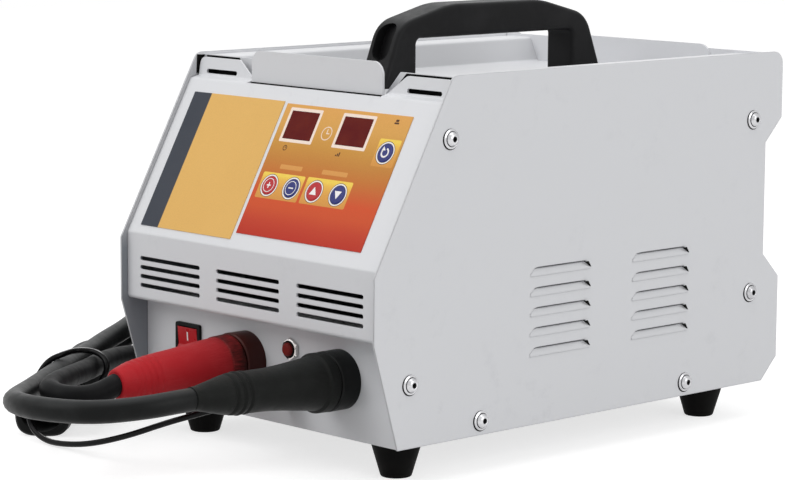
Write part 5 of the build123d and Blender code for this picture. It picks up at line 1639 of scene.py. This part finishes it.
@dataclass
class RearFace(Assembly):
    """Fan, its guard and screws, and the mains gland."""

    dress: dict[str, str] = field(default_factory=lambda: {
        "fan_frame": "black_plastic", "fan_rotor": "black_plastic", "fan_guard": "stainless",
        "fan_screws": "stainless", "mains_gland": "black_plastic"})


@dataclass
class PowerParts(Assembly):
    """Transformer, windings, busbars and thyristor module inside the case."""

    dress: dict[str, str] = field(default_factory=lambda: {
        "transformer_core": "core_iron", "primary_winding": "copper", "secondary_winding": "copper",
        "transformer_bracket": "zinc_steel", "output_busbars": "copper", "thyristor_module": "black_plastic"})


@dataclass
class PullingGun(Assembly):
    """Gun body, chuck and trigger at the end of the gun cable.

    Fields:
        nose: Middle of the gun's front end.
        axis: Way from its nose to its tail.
        radius, length: Size of its body.
        tail_from: Where the tail starts along the axis.
        recess, recess_depth: Radius and depth of the hole in its nose.
        slot: Where its trigger's slot starts and stops along the axis.
        slot_half: Half the slot's width.
        slot_floor: Distance of the slot's floor from the axis.
        rings, ring_pitch, ring_depth: Where the grip's rings are, how far apart and how deep.
        flutes, flute_depth, flute_range: Number, depth and range along the axis of the flutes.
        guard_power, guard_range: Roundness of the square guard, and the range along the axis where it fades.
    """

    dress: dict[str, str] = field(default_factory=lambda: {"gun_chuck": "chuck_steel", "gun_trigger": "signal_red"})
    nose: Point = (-152.0, -245.0, 19.0)
    axis: Point = (-0.65316, 0.75722, 0.0)
    radius: float = 19.0
    length: float = 211.0
    tail_from: float = 160.0
    recess: float = 15.5
    recess_depth: float = 26.0
    slot: tuple[float, float] = (69.7, 102.3)
    slot_half: float = 5.3
    slot_floor: float = 11.2
    rings: tuple[float, float] = (12.0, 60.0)
    ring_pitch: float = 8.0
    ring_depth: float = 0.55
    flutes: int = 14
    flute_depth: float = 0.6
    flute_range: tuple[float, float] = (108.0, 157.0)
    guard_power: float = 3.4
    guard_range: tuple[float, float] = (13.0, 16.0)

    def build(self) -> None:
        """Make the body and dress the chuck and trigger."""
        super().build()
        self.wardrobe.make("gun_shell", [self.shell()], "gun_black", "gun_black", replaced=("gun_body",))

    def shell(self) -> Grid:
        """Body as radius over (along, angle): a hollow nose, grip rings, lengthwise flutes, a slot and a ringed tail.

        Over the first 13 mm the outline is a square with rounded corners, cos^3.4 + sin^3.4 = 1, which then fades to
        the round. Radius is 19, less 0.55 in each ring groove (a raised cosine along the axis), less 0.6 in each flute
        (a raised cosine of 14 times the angle, faded in and out along the axis). Columns on the slot's side sit at even
        heights, and between the slot's ends they drop to its floor.

        Returns:
            The closed grid.
        """
        plain = np.concatenate([np.linspace(2.0, self.slot[0], 90), np.linspace(self.slot[0], self.slot[1], 9),
                                np.linspace(self.slot[1], self.tail_from, 110)])
        in_slot = np.concatenate([np.zeros(90, bool), np.ones(9, bool), np.zeros(110, bool)])
        apart = np.abs((plain - self.rings[0]) % self.ring_pitch - self.ring_pitch / 2)
        rings = np.clip(1 - apart / 1.6, 0, 1) * ((plain > self.rings[0]) & (plain < self.rings[1]))
        size = self.radius - self.ring_depth * (0.5 - 0.5 * np.cos(math.pi * rings))
        open_deg = math.degrees(math.asin(self.slot_half / self.radius))
        angle = np.radians(np.linspace(open_deg, 360 - open_deg, 113))
        fade = np.clip((plain - self.flute_range[0]) / 8, 0, 1) * np.clip((self.flute_range[1] - plain) / 8, 0, 1)
        flute = (0.5 + 0.5 * np.cos(self.flutes * (angle - math.pi))) ** 2
        flute = flute * np.clip(np.abs(np.sin(angle / 2)) * 4 - 1.4, 0, 1)
        curved = size[:, None] - self.flute_depth * fade[:, None] * flute[None]
        sides = np.stack([curved * np.cos(angle), curved * np.sin(angle)], -1)
        height = np.linspace(-self.slot_half, self.slot_half, 15)
        reach = np.where(in_slot[:, None], self.slot_floor, np.sqrt(size[:, None] ** 2 - height[None] ** 2))
        face = np.stack([reach, np.broadcast_to(height, reach.shape)], -1)
        body = np.concatenate([face, sides], 1)
        unit = np.concatenate([np.column_stack([np.sqrt(1 - (height / self.radius) ** 2), height / self.radius]),
                               np.column_stack([np.cos(angle), np.sin(angle)])])
        nose = rounded([(0, self.recess_depth, 0), (self.recess, self.recess_depth, 0.4), (self.recess, 0.0, 0.5),
                        (17.5, 0.0, 1.0), (self.radius, 2.0, 0)])
        tail = rounded([(self.radius, self.tail_from + 0.5, 0), (18.4, 168.0, 6.0), (15.6, 182.0, 6.0),
                        (14.2, 190.0, 1.0), (14.6, 191.5, 0.5), (13.2, 195.5, 0.8), (13.5, 197.0, 0.5),
                        (12.1, 201.0, 0.8), (12.4, 202.5, 0.5), (11.2, 206.5, 0.8), (11.4, 209.5, 0.5),
                        (10.5, self.length, 0.5), (0, self.length, 0)])
        flat = np.concatenate([nose[:, :1, None] * unit[None], body, tail[:, :1, None] * unit[None]])
        along = np.concatenate([nose[:, 1], plain, tail[:, 1]])
        square = (np.abs(unit) ** self.guard_power).sum(1) ** (-1 / self.guard_power)
        outer = np.clip((np.linalg.norm(flat, axis=-1) - self.recess - 0.5) / 1.5, 0, 1)
        near = np.clip((self.guard_range[1] - along) / (self.guard_range[1] - self.guard_range[0]), 0, 1)
        flat = flat * (1 + (square - 1) * outer * near[:, None])[..., None]
        axis = np.array(self.axis)
        left = np.array([-axis[1], axis[0], 0.0])
        points = (np.array(self.nose) + along[:, None, None] * axis + flat[..., :1] * left
                  + flat[..., 1:] * np.array(Z_WAY))
        return Grid(points)


@dataclass
class GroundClamp(Assembly):
    """Ground magnet and the lug on its stud."""

    dress: dict[str, str] = field(default_factory=lambda: {"ground_lug": "copper"})
    place: tuple[float, float] = (-300.0, 228.0)
    height: float = 14.0
    stud: float = 4.0
    stud_height: float = 9.0
    columns: int = 360
    knurls: int = 60
    knurl_depth: float = 0.35

    def build(self) -> None:
        """Make the magnet's knurled puck and dress the lug."""
        super().build()
        self.wardrobe.make("magnet_puck", [self.puck()], "zinc_steel", "zinc_steel", replaced=("ground_magnet",),
                      sharp_deg=50.0)

    def puck(self) -> Grid:
        """Puck with a threaded stud: a turned profile whose rim also swings by 0.35 mm, 60 times round.

        Returns:
            The closed grid.
        """
        stud, high = self.stud, self.height
        thread = [(stud - 0.3 * (k % 2), high + 2.6 + 0.5 * k, 0) for k in range(12)]
        corners = [(0, 0.6, 0), (20.0, 0.6, 0.2), (20.4, 0.0, 0.1), (26.8, 0.0, 0.5), (27.65, 1.2, 0.4),
                   (27.65, 11.4, 0.5), (26.0, 13.6, 0.6), (22.0, high, 0.2), (21.4, 13.6, 0.1), (20.6, high, 0.1),
                   (stud, high, 0.1), (stud, high + 2.2, 0), *thread, (3.5, high + self.stud_height, 0.2),
                   (0, high + self.stud_height, 0)]
        profile = rounded(corners, 4)
        angle = np.linspace(0, 2 * math.pi, self.columns, endpoint=False)
        rim = np.clip((profile[:, 0] - 27.0) / 0.4, 0, 1)
        swing = self.knurl_depth * rim[:, None] * np.cos(self.knurls * angle)[None]
        return revolved(profile, (*self.place, 0.0), Z_WAY, self.columns, swing)


def main() -> None:
    """Build every sub-assembly in order."""
    logging.basicConfig(level=logging.INFO, format="%(name)s %(message)s")
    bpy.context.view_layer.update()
    bpy.context.scene.view_settings.view_transform = "Standard"
    Studio().build()
    wardrobe = Wardrobe(FINISHES)
    # The cords come last
    for assembly in (Case, ControlFace, ConnectorFace, RearFace, PowerParts, PullingGun, GroundClamp, Cords):
        LOG.info("sub-assembly %s", assembly.__name__)
        assembly(wardrobe).build()


if __name__ == "__main__":
    main()
